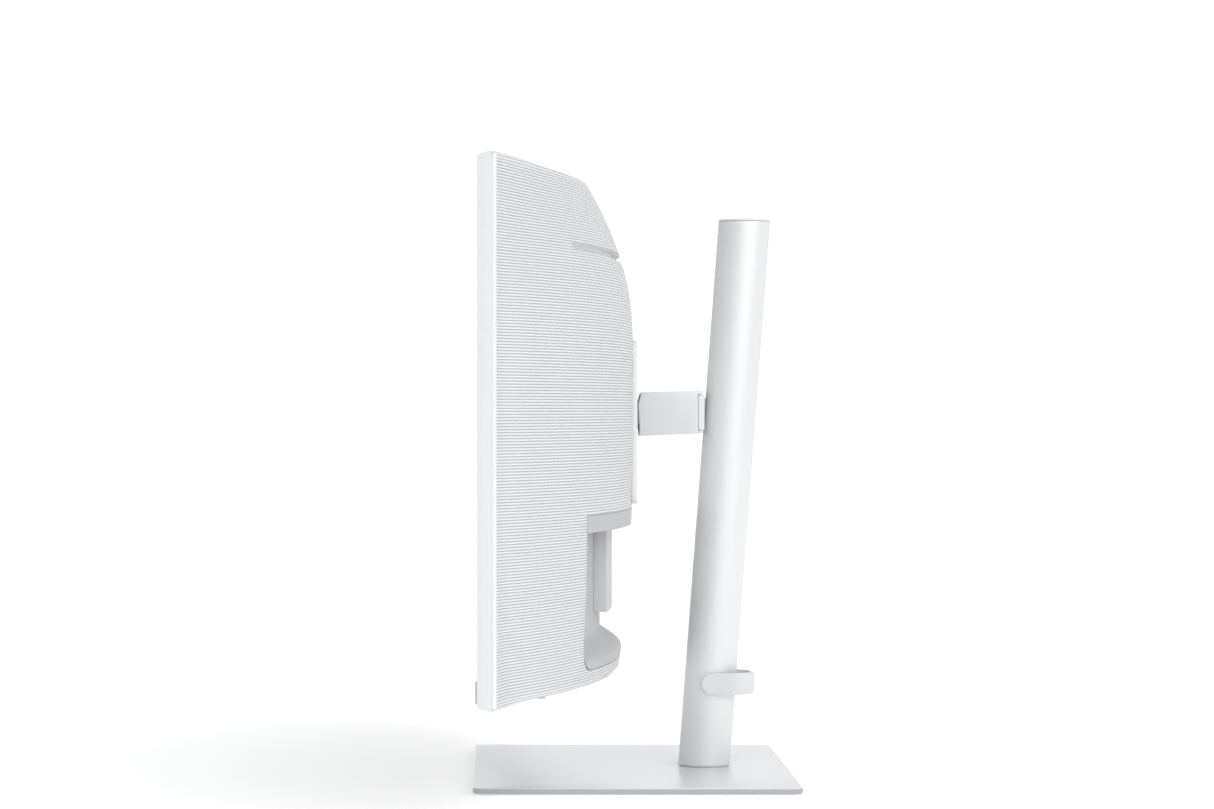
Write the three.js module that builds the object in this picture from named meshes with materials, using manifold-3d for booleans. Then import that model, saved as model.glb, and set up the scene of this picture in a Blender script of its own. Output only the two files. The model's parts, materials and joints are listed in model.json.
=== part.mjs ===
// Curved desktop monitor on a leaning round pole: millimetres, +Z up, screen facing -Y,
// origin at the centre of the base on the desk.
import * as THREE from "three";
import { mergeVertices } from "three/addons/utils/BufferGeometryUtils.js";
import Module from "manifold-3d";

const wasm = await Module();
wasm.setup();

// ---- driving dimensions -------------------------------------------------------------------
const GAP = 0.3;

const HEAD_WIDTH = 807;
const HEAD_HEIGHT = 368;
const HEAD_CENTRE_Z = 263.4;
const SCREEN_RADIUS = 1500;
const SCREEN_MID_Y = -60.2;
const BAND_DEPTH = 9.6;
const BAND_WALL = 1.8;
const BAND_TAPER = 2.9;
const PANEL_THICK = 4.2;
const CHIN_HEIGHT = 15;
const CHIN_PROUD = 2;

const BACK_RADIUS = 830.5;
const BACK_APEX_Y = 2.1;
const COVER_WALL = 2.2;
const COVER_MARGIN = 2.1;
const COVER_EDGE_DEPTH = 12.2;
const COVER_FRONT_DEPTH = 6.4;
const TOP_FALL = 37.5;
const TOP_FALL_START = 62;
const TOP_FALL_POWER = 2.18;
const LOW_FALL_START = -5;
const LOW_FALL_RATE = 3.6e-4;
const LOWER_EDGE_RADIUS = 5;
const SURFACE_BLEND = 2;
const TOP_BLEND = 10;
const COVER_END_DEPTH = 12.9;
const COVER_END_EASE_X = 372;
const COVER_END_X = 401.4;

const VENT_HALF_WIDTH = 261;
const VENT_LOW_Z = 124.9;
const VENT_HIGH_Z = 130.5;
const VENT_DEPTH = 7;

const BAY_TOP_Z = -60;
const BAY_POCKET_TOP_Z = -72;
const BAY_LIP_Z = -166;
const BAY_BOTTOM_Z = -170;
const BAY_FLOOR_END_Z = -144;
const BAY_TOP_HALF = 254;
const BAY_LOW_HALF = 241;
const BAY_CORNER = 26;
const BAY_DEPTH = 25.6;
const BAY_WALL = 2;

const PORT_HALF_WIDTH = 108;
const PORT_BOTTOM_Z = -135;
const PORT_FACE_DEPTH = 16.3;
const PORT_WALL = 1.4;

const PLATE_WIDTH = 120;
const PLATE_LOW_Z = -56.5;
const PLATE_HIGH_Z = 66;
const PLATE_REAR_Y = 3.4;
const PLATE_THICK = 4.6;
const VESA_PITCH = 100;

const TILT_Y = 20;
const TILT_Z = 275;
const ARM_WIDTH = 44;
const ARM_END_Y = 51.2;
const SHOE_END_Y = 56;

const POLE_DIAMETER = 39.3;
const POLE_WALL = 2.4;
const POLE_LEAN = THREE.MathUtils.degToRad(4.26);
const POLE_FOOT_Y = 56.7;
const POLE_TOP_Z = 421.2;
const POLE_CAP_TOP_Z = 423;
const POLE_SLOT_WIDTH = 7;
const POLE_SLOT_LOW = 243;
const POLE_SLOT_HIGH = 410;
const NECK_HALF_WIDTH = 2.5;
const NECK_CLEARANCE = 0.9;
const NECK_LOW_Z = 263.5;
const NECK_HIGH_Z = 286.5;
const CLIP_HEIGHT = 67;

const BASE_WIDTH = 334;
const BASE_DEPTH = 238.6;
const BASE_TOP_Z = 5;
const BASE_BOTTOM_Z = 1;
const BASE_CORNER = 7;

// ---- paints and finishes --------------------------------------------------------------------
const finish = (color, roughness, metalness = 0) =>
  new THREE.MeshStandardMaterial({ color, roughness, metalness });
const WHITE_PLASTIC = finish(0xe6e6e8, 0.5);
const RIBBED_PLASTIC = finish(0xe3e3e5, 0.55);
const WHITE_METAL = finish(0xdededf, 0.35, 0.1);
const GREY_PLASTIC = finish(0xb9b9bc, 0.5);
const BLACK_PLASTIC = finish(0x17181a, 0.5);
const SCREEN_BLACK = finish(0x08090b, 0.25);
const STEEL = finish(0xa9acb0, 0.35, 0.9);
const ALUMINIUM = finish(0xc4c6c9, 0.4, 0.9);
const BRASS = finish(0xb8975a, 0.4, 0.9);
const RUBBER = finish(0x3a3b3d, 0.85);
const NYLON = finish(0xeeeeea, 0.45);
const BOARD_GREEN = finish(0x1f5a3a, 0.6);

// ---- solid helpers --------------------------------------------------------------------------
function toSolid(geometry) {
  const bare = (geometry.index ? geometry.toNonIndexed() : geometry).clone();
  bare.deleteAttribute("normal");
  bare.deleteAttribute("uv");
  const merged = mergeVertices(bare, 1e-4);
  const corners = merged.index.array;
  const kept = [];
  for (let i = 0; i < corners.length; i += 3) {
    const [a, b, c] = [corners[i], corners[i + 1], corners[i + 2]];
    if (a !== b && b !== c && a !== c) kept.push(a, b, c);
  }
  const vertProperties = new Float32Array(merged.attributes.position.array);
  const triVerts = new Uint32Array(kept);
  return new wasm.Manifold(new wasm.Mesh({ numProp: 3, vertProperties, triVerts }));
}

function toGeometry(solid) {
  const mesh = solid.getMesh();
  const geometry = new THREE.BufferGeometry();
  geometry.setAttribute("position", new THREE.BufferAttribute(mesh.vertProperties, 3));
  geometry.setIndex(new THREE.BufferAttribute(mesh.triVerts, 1));
  return geometry;
}

function cut(geometry, ...tools) {
  let solid = toSolid(geometry);
  for (const tool of tools) solid = solid.subtract(toSolid(tool));
  return toGeometry(solid);
}

function join(first, ...others) {
  let solid = toSolid(first);
  for (const other of others) solid = solid.add(toSolid(other));
  return toGeometry(solid);
}

function common(first, second) {
  return toGeometry(toSolid(first).intersect(toSolid(second)));
}

// A box from its lowest to its highest corner.
function block(x0, y0, z0, x1, y1, z1) {
  const box = new THREE.BoxGeometry(x1 - x0, y1 - y0, z1 - z0);
  return box.translate((x0 + x1) / 2, (y0 + y1) / 2, (z0 + z1) / 2);
}

// A cylinder along "x", "y" or "z" between two stations on that axis.
function rod(axis, radius, from, to, a = 0, b = 0, sides = 24) {
  const cylinder = new THREE.CylinderGeometry(radius, radius, to - from, sides);
  const middle = (from + to) / 2;
  if (axis === "x") return cylinder.rotateZ(-Math.PI / 2).translate(middle, a, b);
  if (axis === "y") return cylinder.translate(a, middle, b);
  return cylinder.rotateX(Math.PI / 2).translate(a, b, middle);
}

function roundedOutline(x0, y0, x1, y1, radius) {
  const outline = new THREE.Shape();
  outline.moveTo(x0 + radius, y0);
  outline.lineTo(x1 - radius, y0);
  outline.absarc(x1 - radius, y0 + radius, radius, -Math.PI / 2, 0);
  outline.lineTo(x1, y1 - radius);
  outline.absarc(x1 - radius, y1 - radius, radius, 0, Math.PI / 2);
  outline.lineTo(x0 + radius, y1);
  outline.absarc(x0 + radius, y1 - radius, radius, Math.PI / 2, Math.PI);
  outline.lineTo(x0, y0 + radius);
  outline.absarc(x0 + radius, y0 + radius, radius, Math.PI, Math.PI * 1.5);
  return outline;
}

function extrude(outline, depth, curveSegments = 4) {
  return new THREE.ExtrudeGeometry(outline, { depth, curveSegments, bevelEnabled: false, steps: 1 });
}

// An outline drawn in X and Z, extruded along Y from y0 to y1.
function prismAlongY(outline, y0, y1, curveSegments = 4) {
  return extrude(outline, y1 - y0, curveSegments).rotateX(Math.PI / 2).translate(0, y1, 0);
}

// An outline drawn in Y and Z, extruded along X from x0 to x1.
function prismAlongX(outline, x0, x1, curveSegments = 4) {
  const turn = new THREE.Matrix4().makeBasis(
    new THREE.Vector3(0, 1, 0), new THREE.Vector3(0, 0, 1), new THREE.Vector3(1, 0, 0));
  return extrude(outline, x1 - x0, curveSegments).applyMatrix4(turn).translate(x0, 0, 0);
}

// A closed body between a front sheet and a back sheet, each a function of grid indices.
function bodyBetween(frontAt, backAt, columns, rows) {
  const positions = [];
  const triangles = [];
  const index = (side, i, j) => side * (columns + 1) * (rows + 1) + i * (rows + 1) + j;
  for (const sheet of [frontAt, backAt]) {
    for (let i = 0; i <= columns; i++) {
      for (let j = 0; j <= rows; j++) positions.push(...sheet(i, j));
    }
  }
  const quad = (a, b, c, d) => triangles.push(a, b, c, a, c, d);
  for (let i = 0; i < columns; i++) {
    for (let j = 0; j < rows; j++) {
      quad(index(0, i, j), index(0, i + 1, j), index(0, i + 1, j + 1), index(0, i, j + 1));
      quad(index(1, i, j), index(1, i, j + 1), index(1, i + 1, j + 1), index(1, i + 1, j));
    }
  }
  const rim = [];
  for (let i = 0; i < columns; i++) rim.push([i, 0]);
  for (let j = 0; j < rows; j++) rim.push([columns, j]);
  for (let i = columns; i > 0; i--) rim.push([i, rows]);
  for (let j = rows; j > 0; j--) rim.push([0, j]);
  rim.forEach(([i, j], n) => {
    const [k, l] = rim[(n + 1) % rim.length];
    quad(index(0, k, l), index(0, i, j), index(1, i, j), index(1, k, l));
  });
  const geometry = new THREE.BufferGeometry();
  geometry.setAttribute("position", new THREE.Float32BufferAttribute(positions, 3));
  geometry.setIndex(triangles);
  return geometry;
}

// The same body over a plain X-Z rectangle, its sheets given as y = f(x, z).
function slab(front, back, xs, zs) {
  const at = (sheet) => (i, j) => [xs[i], sheet(xs[i], zs[j]), zs[j]];
  return bodyBetween(at(front), at(back), xs.length - 1, zs.length - 1);
}

function spread(from, to, steps) {
  return Array.from({ length: steps + 1 }, (_, n) => from + (to - from) * n / steps);
}

// ---- the head's two curved surfaces ---------------------------------------------------------
const screenY = (x) => SCREEN_MID_Y - SCREEN_RADIUS + Math.sqrt(SCREEN_RADIUS ** 2 - x * x);

function fall(z) {
  if (z > TOP_FALL_START) {
    const along = (z - TOP_FALL_START) / (HEAD_HEIGHT / 2 - TOP_FALL_START);
    return TOP_FALL * along ** TOP_FALL_POWER;
  }
  const low = Math.max(0, LOW_FALL_START - z);
  const edge = Math.max(0, LOWER_EDGE_RADIUS - HEAD_HEIGHT / 2 + COVER_MARGIN - z);
  const round = LOWER_EDGE_RADIUS - Math.sqrt(Math.max(0, LOWER_EDGE_RADIUS ** 2 - edge * edge));
  return LOW_FALL_RATE * low * low + round;
}

const bulgeY = (x) => BACK_APEX_Y - BACK_RADIUS + Math.sqrt(BACK_RADIUS ** 2 - x * x);

function backY(x, z) {
  const bulge = bulgeY(x) - fall(z);
  const skirt = screenY(x) + COVER_EDGE_DEPTH;
  const up = Math.max(0, (z - TOP_FALL_START) / (HEAD_HEIGHT / 2 - TOP_FALL_START));
  const joined = (bulge + skirt + Math.hypot(bulge - skirt, SURFACE_BLEND + TOP_BLEND * up)) / 2;
  const nearEnd = THREE.MathUtils.smoothstep(Math.abs(x), COVER_END_EASE_X, COVER_END_X);
  return joined + (screenY(x) + COVER_END_DEPTH - joined) * nearEnd;
}

const behindScreen = (depth) => (x) => screenY(x) + depth;

// ---- head: front ----------------------------------------------------------------------------
const HALF_WIDTH = HEAD_WIDTH / 2;
const HALF_HEIGHT = HEAD_HEIGHT / 2;

// A tapered ring section: the front outline is BAND_TAPER smaller all round.
function taperedBody(halfWidth, halfHeight, taper, frontDepth, backDepth, columns) {
  const sheet = (inset, depth) => (i, j) => {
    const x = (halfWidth - inset) * (2 * i / columns - 1);
    return [x, screenY(x) + depth, (halfHeight - inset) * (j ? 1 : -1)];
  };
  return bodyBetween(sheet(taper, frontDepth), sheet(0, backDepth), columns, 1);
}

function makeFrameBand() {
  const outer = taperedBody(HALF_WIDTH, HALF_HEIGHT, BAND_TAPER, 0, BAND_DEPTH, 24);
  const frontPocket = taperedBody(
    HALF_WIDTH - BAND_WALL, HALF_HEIGHT - BAND_WALL, BAND_TAPER - 1, -1, 4.6, 24);
  const rearPocket = slab(behindScreen(5.8), behindScreen(BAND_DEPTH + 1),
    spread(-HALF_WIDTH + BAND_WALL, HALF_WIDTH - BAND_WALL, 24),
    [-HALF_HEIGHT + BAND_WALL, HALF_HEIGHT - BAND_WALL]);
  const window = slab(behindScreen(-2), behindScreen(12),
    spread(-HALF_WIDTH + 12, HALF_WIDTH - 12, 24), [-HALF_HEIGHT + 12, HALF_HEIGHT - 12]);
  return cut(outer, frontPocket, rearPocket, window);
}

function makeChin() {
  const half = HALF_WIDTH - BAND_TAPER - BAND_WALL - 0.1;
  const low = -HALF_HEIGHT + BAND_TAPER + BAND_WALL + 0.4;
  const high = low + CHIN_HEIGHT;
  const front = slab(behindScreen(-CHIN_PROUD), behindScreen(0.2), spread(-half, half, 24), [low, high]);
  const root = slab(behindScreen(0.1), behindScreen(4.2), spread(-half, half, 24), [low, high - 4.2]);
  return join(front, root);
}

function sheetBehind(frontDepth, backDepth, halfWidth, low, high, columns = 16) {
  const xs = spread(-halfWidth, halfWidth, columns);
  return slab(behindScreen(frontDepth), behindScreen(backDepth), xs, [low, high]);
}

const JOG_Y = -43;
const JOG_PIVOT_Z = -171;
const COVER_SCREW_X = [-290, -120, 120, 290];
const coverScrewY = (x) => (screenY(x) + COVER_FRONT_DEPTH + backY(x, -175)) / 2;

// ---- head: rear cover -----------------------------------------------------------------------
const COVER_ROWS = [
  -181.9, -181, -179.4, -176.9, -140, -100, -60, -5, 62, 84, 104, 122, 138, 152, 167, 181.9,
];

function bayOutline(grow) {
  const top = BAY_TOP_HALF + grow;
  const low = BAY_LOW_HALF + grow;
  const bottom = BAY_BOTTOM_Z - grow;
  const outline = new THREE.Shape();
  outline.moveTo(-top, BAY_TOP_Z + grow);
  outline.lineTo(-low, bottom + BAY_CORNER);
  outline.quadraticCurveTo(-low + 3, bottom, -low + BAY_CORNER + 6, bottom);
  outline.lineTo(low - BAY_CORNER - 6, bottom);
  outline.quadraticCurveTo(low - 3, bottom, low, bottom + BAY_CORNER);
  outline.lineTo(top, BAY_TOP_Z + grow);
  outline.closePath();
  return outline;
}

function pocketOutline() {
  const outline = new THREE.Shape();
  const top = BAY_TOP_HALF - BAY_WALL;
  const low = BAY_LOW_HALF - BAY_WALL;
  const bottom = BAY_LIP_Z;
  outline.moveTo(-top, BAY_POCKET_TOP_Z);
  outline.lineTo(-low, bottom + BAY_CORNER);
  outline.quadraticCurveTo(-low + 3, bottom, -low + BAY_CORNER + 6, bottom);
  outline.lineTo(low - BAY_CORNER - 6, bottom);
  outline.quadraticCurveTo(low - 3, bottom, low, bottom + BAY_CORNER);
  outline.lineTo(top, BAY_POCKET_TOP_Z);
  outline.closePath();
  return outline;
}

function makeRearCover() {
  const halfX = HALF_WIDTH - BAND_WALL - GAP;
  const xs = spread(-halfX, halfX, 26);
  xs.splice(1, 0, -COVER_END_X + 8);
  xs.splice(-1, 0, COVER_END_X - 8);
  const outer = slab(behindScreen(COVER_FRONT_DEPTH), backY, xs, COVER_ROWS);
  const innerRows = COVER_ROWS.slice(4, -1);
  innerRows.unshift(-HALF_HEIGHT + COVER_MARGIN + COVER_WALL);
  innerRows.push(HALF_HEIGHT - COVER_MARGIN - COVER_WALL);
  const inner = slab(behindScreen(COVER_FRONT_DEPTH - 1), (x, z) => backY(x, z) - COVER_WALL,
    spread(-halfX + COVER_WALL, halfX - COVER_WALL, 26), innerRows);
  const bayHole = prismAlongY(bayOutline(GAP), -120, 20);
  const ventHole = block(-VENT_HALF_WIDTH, -120, VENT_LOW_Z, VENT_HALF_WIDTH, 20, VENT_HIGH_Z);
  const plateSide = PLATE_WIDTH / 2 + 1;
  const plateHole = block(-plateSide, -40, PLATE_LOW_Z - 1, plateSide, 20, PLATE_HIGH_Z + 1);
  const jogHole = rod("z", 7.6, -190, -176, 0, JOG_Y, 24);
  const screwHoles = COVER_SCREW_X.map((x) => rod("z", 1.9, -190, -178, x, coverScrewY(x), 12));
  return cut(outer, inner, bayHole, ventHole, plateHole, jogHole, ...screwHoles);
}

// The floor of the vent groove: a curved channel let in behind the cover.
function makeVentGrille() {
  const xs = spread(-VENT_HALF_WIDTH + GAP, VENT_HALF_WIDTH - GAP, 22);
  const rows = [VENT_LOW_Z + GAP, VENT_HIGH_Z - GAP];
  const floor = (x, z) => backY(x, (VENT_LOW_Z + VENT_HIGH_Z) / 2) - VENT_DEPTH;
  const strip = slab((x, z) => floor(x, z) - 1.6, floor, xs, rows);
  const slots = [];
  for (let n = -12; n <= 12; n++) {
    const x = n * 20;
    const y = floor(x, 0);
    slots.push(block(x - 7, y - 5, VENT_LOW_Z + 1.8, x + 7, y + 5, VENT_HIGH_Z - 1.8));
  }
  return cut(strip, ...slots);
}

// ---- head: cable bay and ports --------------------------------------------------------------
function bayFloorY(x, z) {
  const floor = bulgeY(x) - BAY_DEPTH;
  const along = THREE.MathUtils.smoothstep(-z, -BAY_FLOOR_END_Z, -BAY_LIP_Z);
  return floor + (backY(x, BAY_LIP_Z) - floor) * along;
}

const BAY_ROWS = [-172, -166, -161, -155.5, -150, -144, -110, -72, -58];

function makePortBay() {
  const xs = spread(-BAY_TOP_HALF - 2, BAY_TOP_HALF + 2, 20);
  const bodyFront = (x, z) => Math.min(bayFloorY(x, Math.max(z, BAY_LIP_Z + 6)), backY(x, z) - 3) - BAY_WALL;
  const body = common(slab(bodyFront, backY, xs, BAY_ROWS), prismAlongY(bayOutline(0), -140, 30));
  const pocket = common(slab(bayFloorY, (x, z) => backY(x, z) + 6, xs, BAY_ROWS),
    prismAlongY(pocketOutline(), -140, 30));
  const socketWindow = block(-PORT_HALF_WIDTH + 6, -60, PORT_BOTTOM_Z + 6, PORT_HALF_WIDTH - 6, 0, -84);
  return cut(body, pocket, socketWindow);
}

const portFloorY = (x) => bulgeY(x) - BAY_DEPTH + GAP;
const portFaceY = (x) => bulgeY(x) - PORT_FACE_DEPTH;

function makePortHousing() {
  const top = BAY_POCKET_TOP_Z - GAP;
  const xs = spread(-PORT_HALF_WIDTH, PORT_HALF_WIDTH, 12);
  const outer = slab(portFloorY, portFaceY, xs, [PORT_BOTTOM_Z, top]);
  const inner = slab((x) => portFloorY(x) - 2, (x) => portFaceY(x) - PORT_WALL,
    spread(-PORT_HALF_WIDTH + PORT_WALL, PORT_HALF_WIDTH - PORT_WALL, 12),
    [PORT_BOTTOM_Z + PORT_WALL, top - PORT_WALL]);
  const windows = SOCKETS.map(({ x, width, height }) => {
    const y = socketY(x);
    const side = width / 2 + GAP;
    const deep = height / 2 + GAP;
    return block(x - side, y - deep, PORT_BOTTOM_Z - 1, x + side, y + deep, PORT_BOTTOM_Z + 3);
  });
  const jackWindows = [POWER_JACK_X, AUDIO_JACK_X].map((x) =>
    rod("z", 3.9, PORT_BOTTOM_Z - 1, PORT_BOTTOM_Z + 3, x, socketY(x), 20));
  return cut(outer, inner, ...windows, ...jackWindows);
}

// Every socket faces down out of the port housing; sizes are its shell's width and height.
const SOCKETS = [
  { name: "hdmi_socket_1", x: -84, width: 15.4, height: 5.9, tongue: 1.4, material: STEEL },
  { name: "hdmi_socket_2", x: -61, width: 15.4, height: 5.9, tongue: 1.4, material: STEEL },
  { name: "display_socket", x: -37, width: 17, height: 6.2, tongue: 1.6, material: STEEL },
  { name: "usb_c_socket", x: -16, width: 9.6, height: 4, tongue: 0.7, material: STEEL },
  { name: "usb_a_socket_1", x: 8, width: 13.8, height: 6.4, tongue: 1.9, material: STEEL },
  { name: "usb_a_socket_2", x: 30, width: 13.8, height: 6.4, tongue: 1.9, material: STEEL },
];
const SOCKET_DEPTH = 15;
const POWER_JACK_X = 82;
const AUDIO_JACK_X = 56;
const socketY = (x) => (portFloorY(x) + portFaceY(x) - PORT_WALL) / 2;

function makeSocket({ x, width, height, tongue }) {
  const y = socketY(x);
  const wall = 0.5;
  const low = PORT_BOTTOM_Z;
  const side = width / 2;
  const deep = height / 2;
  const shell = block(x - side, y - deep, low, x + side, y + deep, low + SOCKET_DEPTH);
  const tongueBar = block(x - side + 2, y - tongue / 2, low + 1.2, x + side - 2, y + tongue / 2, low + 13);
  const hollow = block(x - side + wall, y - deep + wall, low - 1, x + side - wall, y + deep - wall, low + 12);
  return cut(shell, cut(hollow, tongueBar));
}

// A round jack: a barrel whose open mouth faces down, with a centre pin if it has one.
function makeJack(x, outerRadius, boreRadius, pinRadius, depth) {
  const low = PORT_BOTTOM_Z;
  const barrel = rod("z", outerRadius, low, low + depth, x, socketY(x), 20);
  const bore = rod("z", boreRadius, low - 1, low + depth - 2, x, socketY(x), 20);
  if (pinRadius === 0) return cut(barrel, bore);
  return cut(barrel, cut(bore, rod("z", pinRadius, low + 1, low + depth, x, socketY(x), 12)));
}

// ---- head: inside ---------------------------------------------------------------------------
const plateMiddleZ = (PLATE_LOW_Z + PLATE_HIGH_Z) / 2;
const BRACKET_REAR_Y = PLATE_REAR_Y - PLATE_THICK - GAP;

function makeStandBracket() {
  const side = PLATE_WIDTH / 2 - 0.5;
  const low = PLATE_LOW_Z + 0.5;
  const high = PLATE_HIGH_Z - 0.5;
  const floorY = SCREEN_MID_Y + 6.2;
  const box = block(-side, floorY, low, side, BRACKET_REAR_Y, high);
  const hollow = block(-side + 2, floorY - 1, low + 2, side - 2, BRACKET_REAR_Y - 2, high - 2);
  const sideWindow = block(-80, floorY + 8, low + 16, 80, BRACKET_REAR_Y - 10, high - 16);
  const endWindow = block(-side + 16, floorY + 8, -80, side - 16, BRACKET_REAR_Y - 10, 90);
  const holes = [];
  for (const x of [-VESA_PITCH / 2, VESA_PITCH / 2]) {
    for (const z of [plateMiddleZ - VESA_PITCH / 2, plateMiddleZ + VESA_PITCH / 2]) {
      holes.push(rod("y", 2.1, BRACKET_REAR_Y - 4, BRACKET_REAR_Y + 2, x, z, 12));
    }
  }
  return cut(box, hollow, sideWindow, endWindow, ...holes);
}

function makeSpeaker(side) {
  const xs = side > 0 ? spread(262, 322, 4) : spread(-322, -262, 4);
  const back = (x) => Math.min(screenY(x) + 22, backY(x, -168) - COVER_WALL - 2);
  return slab(behindScreen(6.4), back, xs, [-168, -138]);
}

function makeJogSwitch() {
  return block(-5, JOG_Y - 5, JOG_PIVOT_Z + 2.8, 5, JOG_Y + 5, JOG_PIVOT_Z + 8);
}

function makeJogCradle() {
  const ring = block(-6, JOG_Y - 6, JOG_PIVOT_Z - 1.4, 6, JOG_Y + 6, JOG_PIVOT_Z + 1.4);
  return cut(ring, block(-4, JOG_Y - 4, JOG_PIVOT_Z - 5, 4, JOG_Y + 4, JOG_PIVOT_Z + 5));
}

function makeJogStem() {
  const head = block(-3, JOG_Y - 3, JOG_PIVOT_Z - 1.3, 3, JOG_Y + 3, JOG_PIVOT_Z + 1.3);
  return join(head, rod("z", 1.5, JOG_PIVOT_Z - 11.8, JOG_PIVOT_Z, 0, JOG_Y, 12));
}

function makeJogCap() {
  const profile = [
    [0, -13.9], [4.6, -13.9], [5.5, -13], [5.5, -8.6], [4.9, -8], [1.9, -8], [1.9, -12.6], [0, -12.6],
  ];
  const points = profile.map(([r, z]) => new THREE.Vector2(r, z));
  return new THREE.LatheGeometry(points, 20).rotateX(Math.PI / 2).translate(0, JOG_Y, JOG_PIVOT_Z);
}

function makeCoverScrew(x) {
  const y = coverScrewY(x);
  const low = -HALF_HEIGHT + COVER_MARGIN;
  return join(rod("z", 3, low - 1.9, low - GAP, x, y, 16), rod("z", 1.5, low - 1, low + 9, x, y, 12));
}

// ---- head: mounting plate and tilt bracket --------------------------------------------------
const RELEASE_Z = -46.5;
const RELEASE_HALF_WIDTH = 8;
const RELEASE_HALF_HEIGHT = 1.9;
const tiltZ = TILT_Z - HEAD_CENTRE_Z;

function makeMountPlate() {
  const outline = roundedOutline(-PLATE_WIDTH / 2, PLATE_LOW_Z, PLATE_WIDTH / 2, PLATE_HIGH_Z, 6);
  const plate = prismAlongY(outline, PLATE_REAR_Y - PLATE_THICK, PLATE_REAR_Y, 4);
  const button = block(-RELEASE_HALF_WIDTH - GAP, -10, RELEASE_Z - RELEASE_HALF_HEIGHT - GAP,
    RELEASE_HALF_WIDTH + GAP, 10, RELEASE_Z + RELEASE_HALF_HEIGHT + GAP);
  return cut(plate, button);
}

function makeReleaseButton() {
  const outline = roundedOutline(-RELEASE_HALF_WIDTH, RELEASE_Z - RELEASE_HALF_HEIGHT,
    RELEASE_HALF_WIDTH, RELEASE_Z + RELEASE_HALF_HEIGHT, 1.2);
  return prismAlongY(outline, PLATE_REAR_Y - 3.2, PLATE_REAR_Y + 1.2, 3);
}

const EAR_INNER = 9.6;
const EAR_OUTER = 12.6;
const PIN_RADIUS = 4;

function makeTiltBracket() {
  const top = tiltZ + 7.4;
  const flange = block(-EAR_OUTER, PLATE_REAR_Y + GAP, tiltZ - 12, EAR_OUTER, PLATE_REAR_Y + 2.3, top);
  const ears = [-1, 1].map((side) => {
    const inner = Math.min(side * EAR_INNER, side * EAR_OUTER);
    const arm = block(inner, PLATE_REAR_Y + 1, tiltZ - 8, inner + 3, TILT_Y, top);
    return join(arm, rod("x", 7.6, inner, inner + 3, TILT_Y, tiltZ, 24));
  });
  return cut(join(flange, ...ears), rod("x", PIN_RADIUS + 0.35, -30, 30, TILT_Y, tiltZ, 24));
}

// ---- arm ------------------------------------------------------------------------------------
// The opening round the arm's neck, which is thin enough to pass through the pole's slot.
function neckOpening(from, to) {
  const side = NECK_HALF_WIDTH + NECK_CLEARANCE;
  return block(-side, from, NECK_LOW_Z - NECK_CLEARANCE, side, to, NECK_HIGH_Z + NECK_CLEARANCE);
}

// Side outline of the arm's housing: its nose is cut back so that the head can tilt.
function armOutline(inset) {
  const outline = new THREE.Shape();
  outline.moveTo(8.3 + inset * 0.5, 290.8 - inset);
  outline.lineTo(5.8, 281.6);
  outline.lineTo(6.4, 258 + inset);
  outline.lineTo(9, 257.4 + inset);
  outline.lineTo(ARM_END_Y, 259.4 + inset);
  outline.lineTo(ARM_END_Y, 291.6 - inset);
  outline.closePath();
  return outline;
}

function makeArmHousing() {
  const half = ARM_WIDTH / 2;
  const wall = 2.2;
  const outer = prismAlongX(armOutline(0), -half, half);
  const inner = block(-half + wall, 0, 260.2, half - wall, ARM_END_Y - wall, 288.6);
  return cut(outer, inner, neckOpening(40, 60));
}

function makeArmCore() {
  const body = block(-15, 31, 262.5, 15, ARM_END_Y - 2.6, 287.5);
  const tongue = block(-7.5, TILT_Y, 267.4, 7.5, 32, 282.6);
  const knuckle = rod("x", 7.6, -7.5, 7.5, TILT_Y, TILT_Z, 24);
  const neck = block(-NECK_HALF_WIDTH, 45, NECK_LOW_Z, NECK_HALF_WIDTH, 61.4, NECK_HIGH_Z);
  const bore = rod("x", PIN_RADIUS + 0.3, -30, 30, TILT_Y, TILT_Z, 24);
  return cut(join(body, tongue, knuckle, neck), bore);
}

function makeArmShoe() {
  const shoe = block(-16, ARM_END_Y + GAP, 261.2, 16, SHOE_END_Y - 0.9, 288.6);
  const pole = onPole(rod("z", POLE_DIAMETER / 2 + 0.6, 200, 330, 0, 0, 48));
  return cut(shoe, neckOpening(40, 70), pole);
}

function makeTiltPin() {
  const pin = rod("x", PIN_RADIUS, -16.4, 16.4, TILT_Y, TILT_Z, 24);
  const ends = [[-17.6, -13], [13, 17.6]].map(([from, to]) => rod("x", 6.4, from, to, TILT_Y, TILT_Z, 6));
  return join(pin, ...ends);
}

function makeFrictionWasher(side) {
  const from = side > 0 ? 7.8 : -9.3;
  const ring = rod("x", 7, from, from + 1.5, TILT_Y, TILT_Z, 24);
  return cut(ring, rod("x", PIN_RADIUS + GAP, -30, 30, TILT_Y, TILT_Z, 24));
}

// ---- pole -----------------------------------------------------------------------------------
// Puts a shape built round the pole's own axis (z = 0 at the base's top) into its leaning place.
function onPole(geometry) {
  return geometry.rotateX(-POLE_LEAN).translate(0, POLE_FOOT_Y, BASE_TOP_Z);
}
const TUBE_RADIUS = POLE_DIAMETER / 2;
const BORE_RADIUS = TUBE_RADIUS - POLE_WALL;
const CARRIAGE_HEIGHT = (TILT_Z - BASE_TOP_Z) / Math.cos(POLE_LEAN) + 1.4;

function levelSlice(geometry, low, high) {
  return common(geometry, block(-100, -60, low, 100, 200, high));
}

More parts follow.
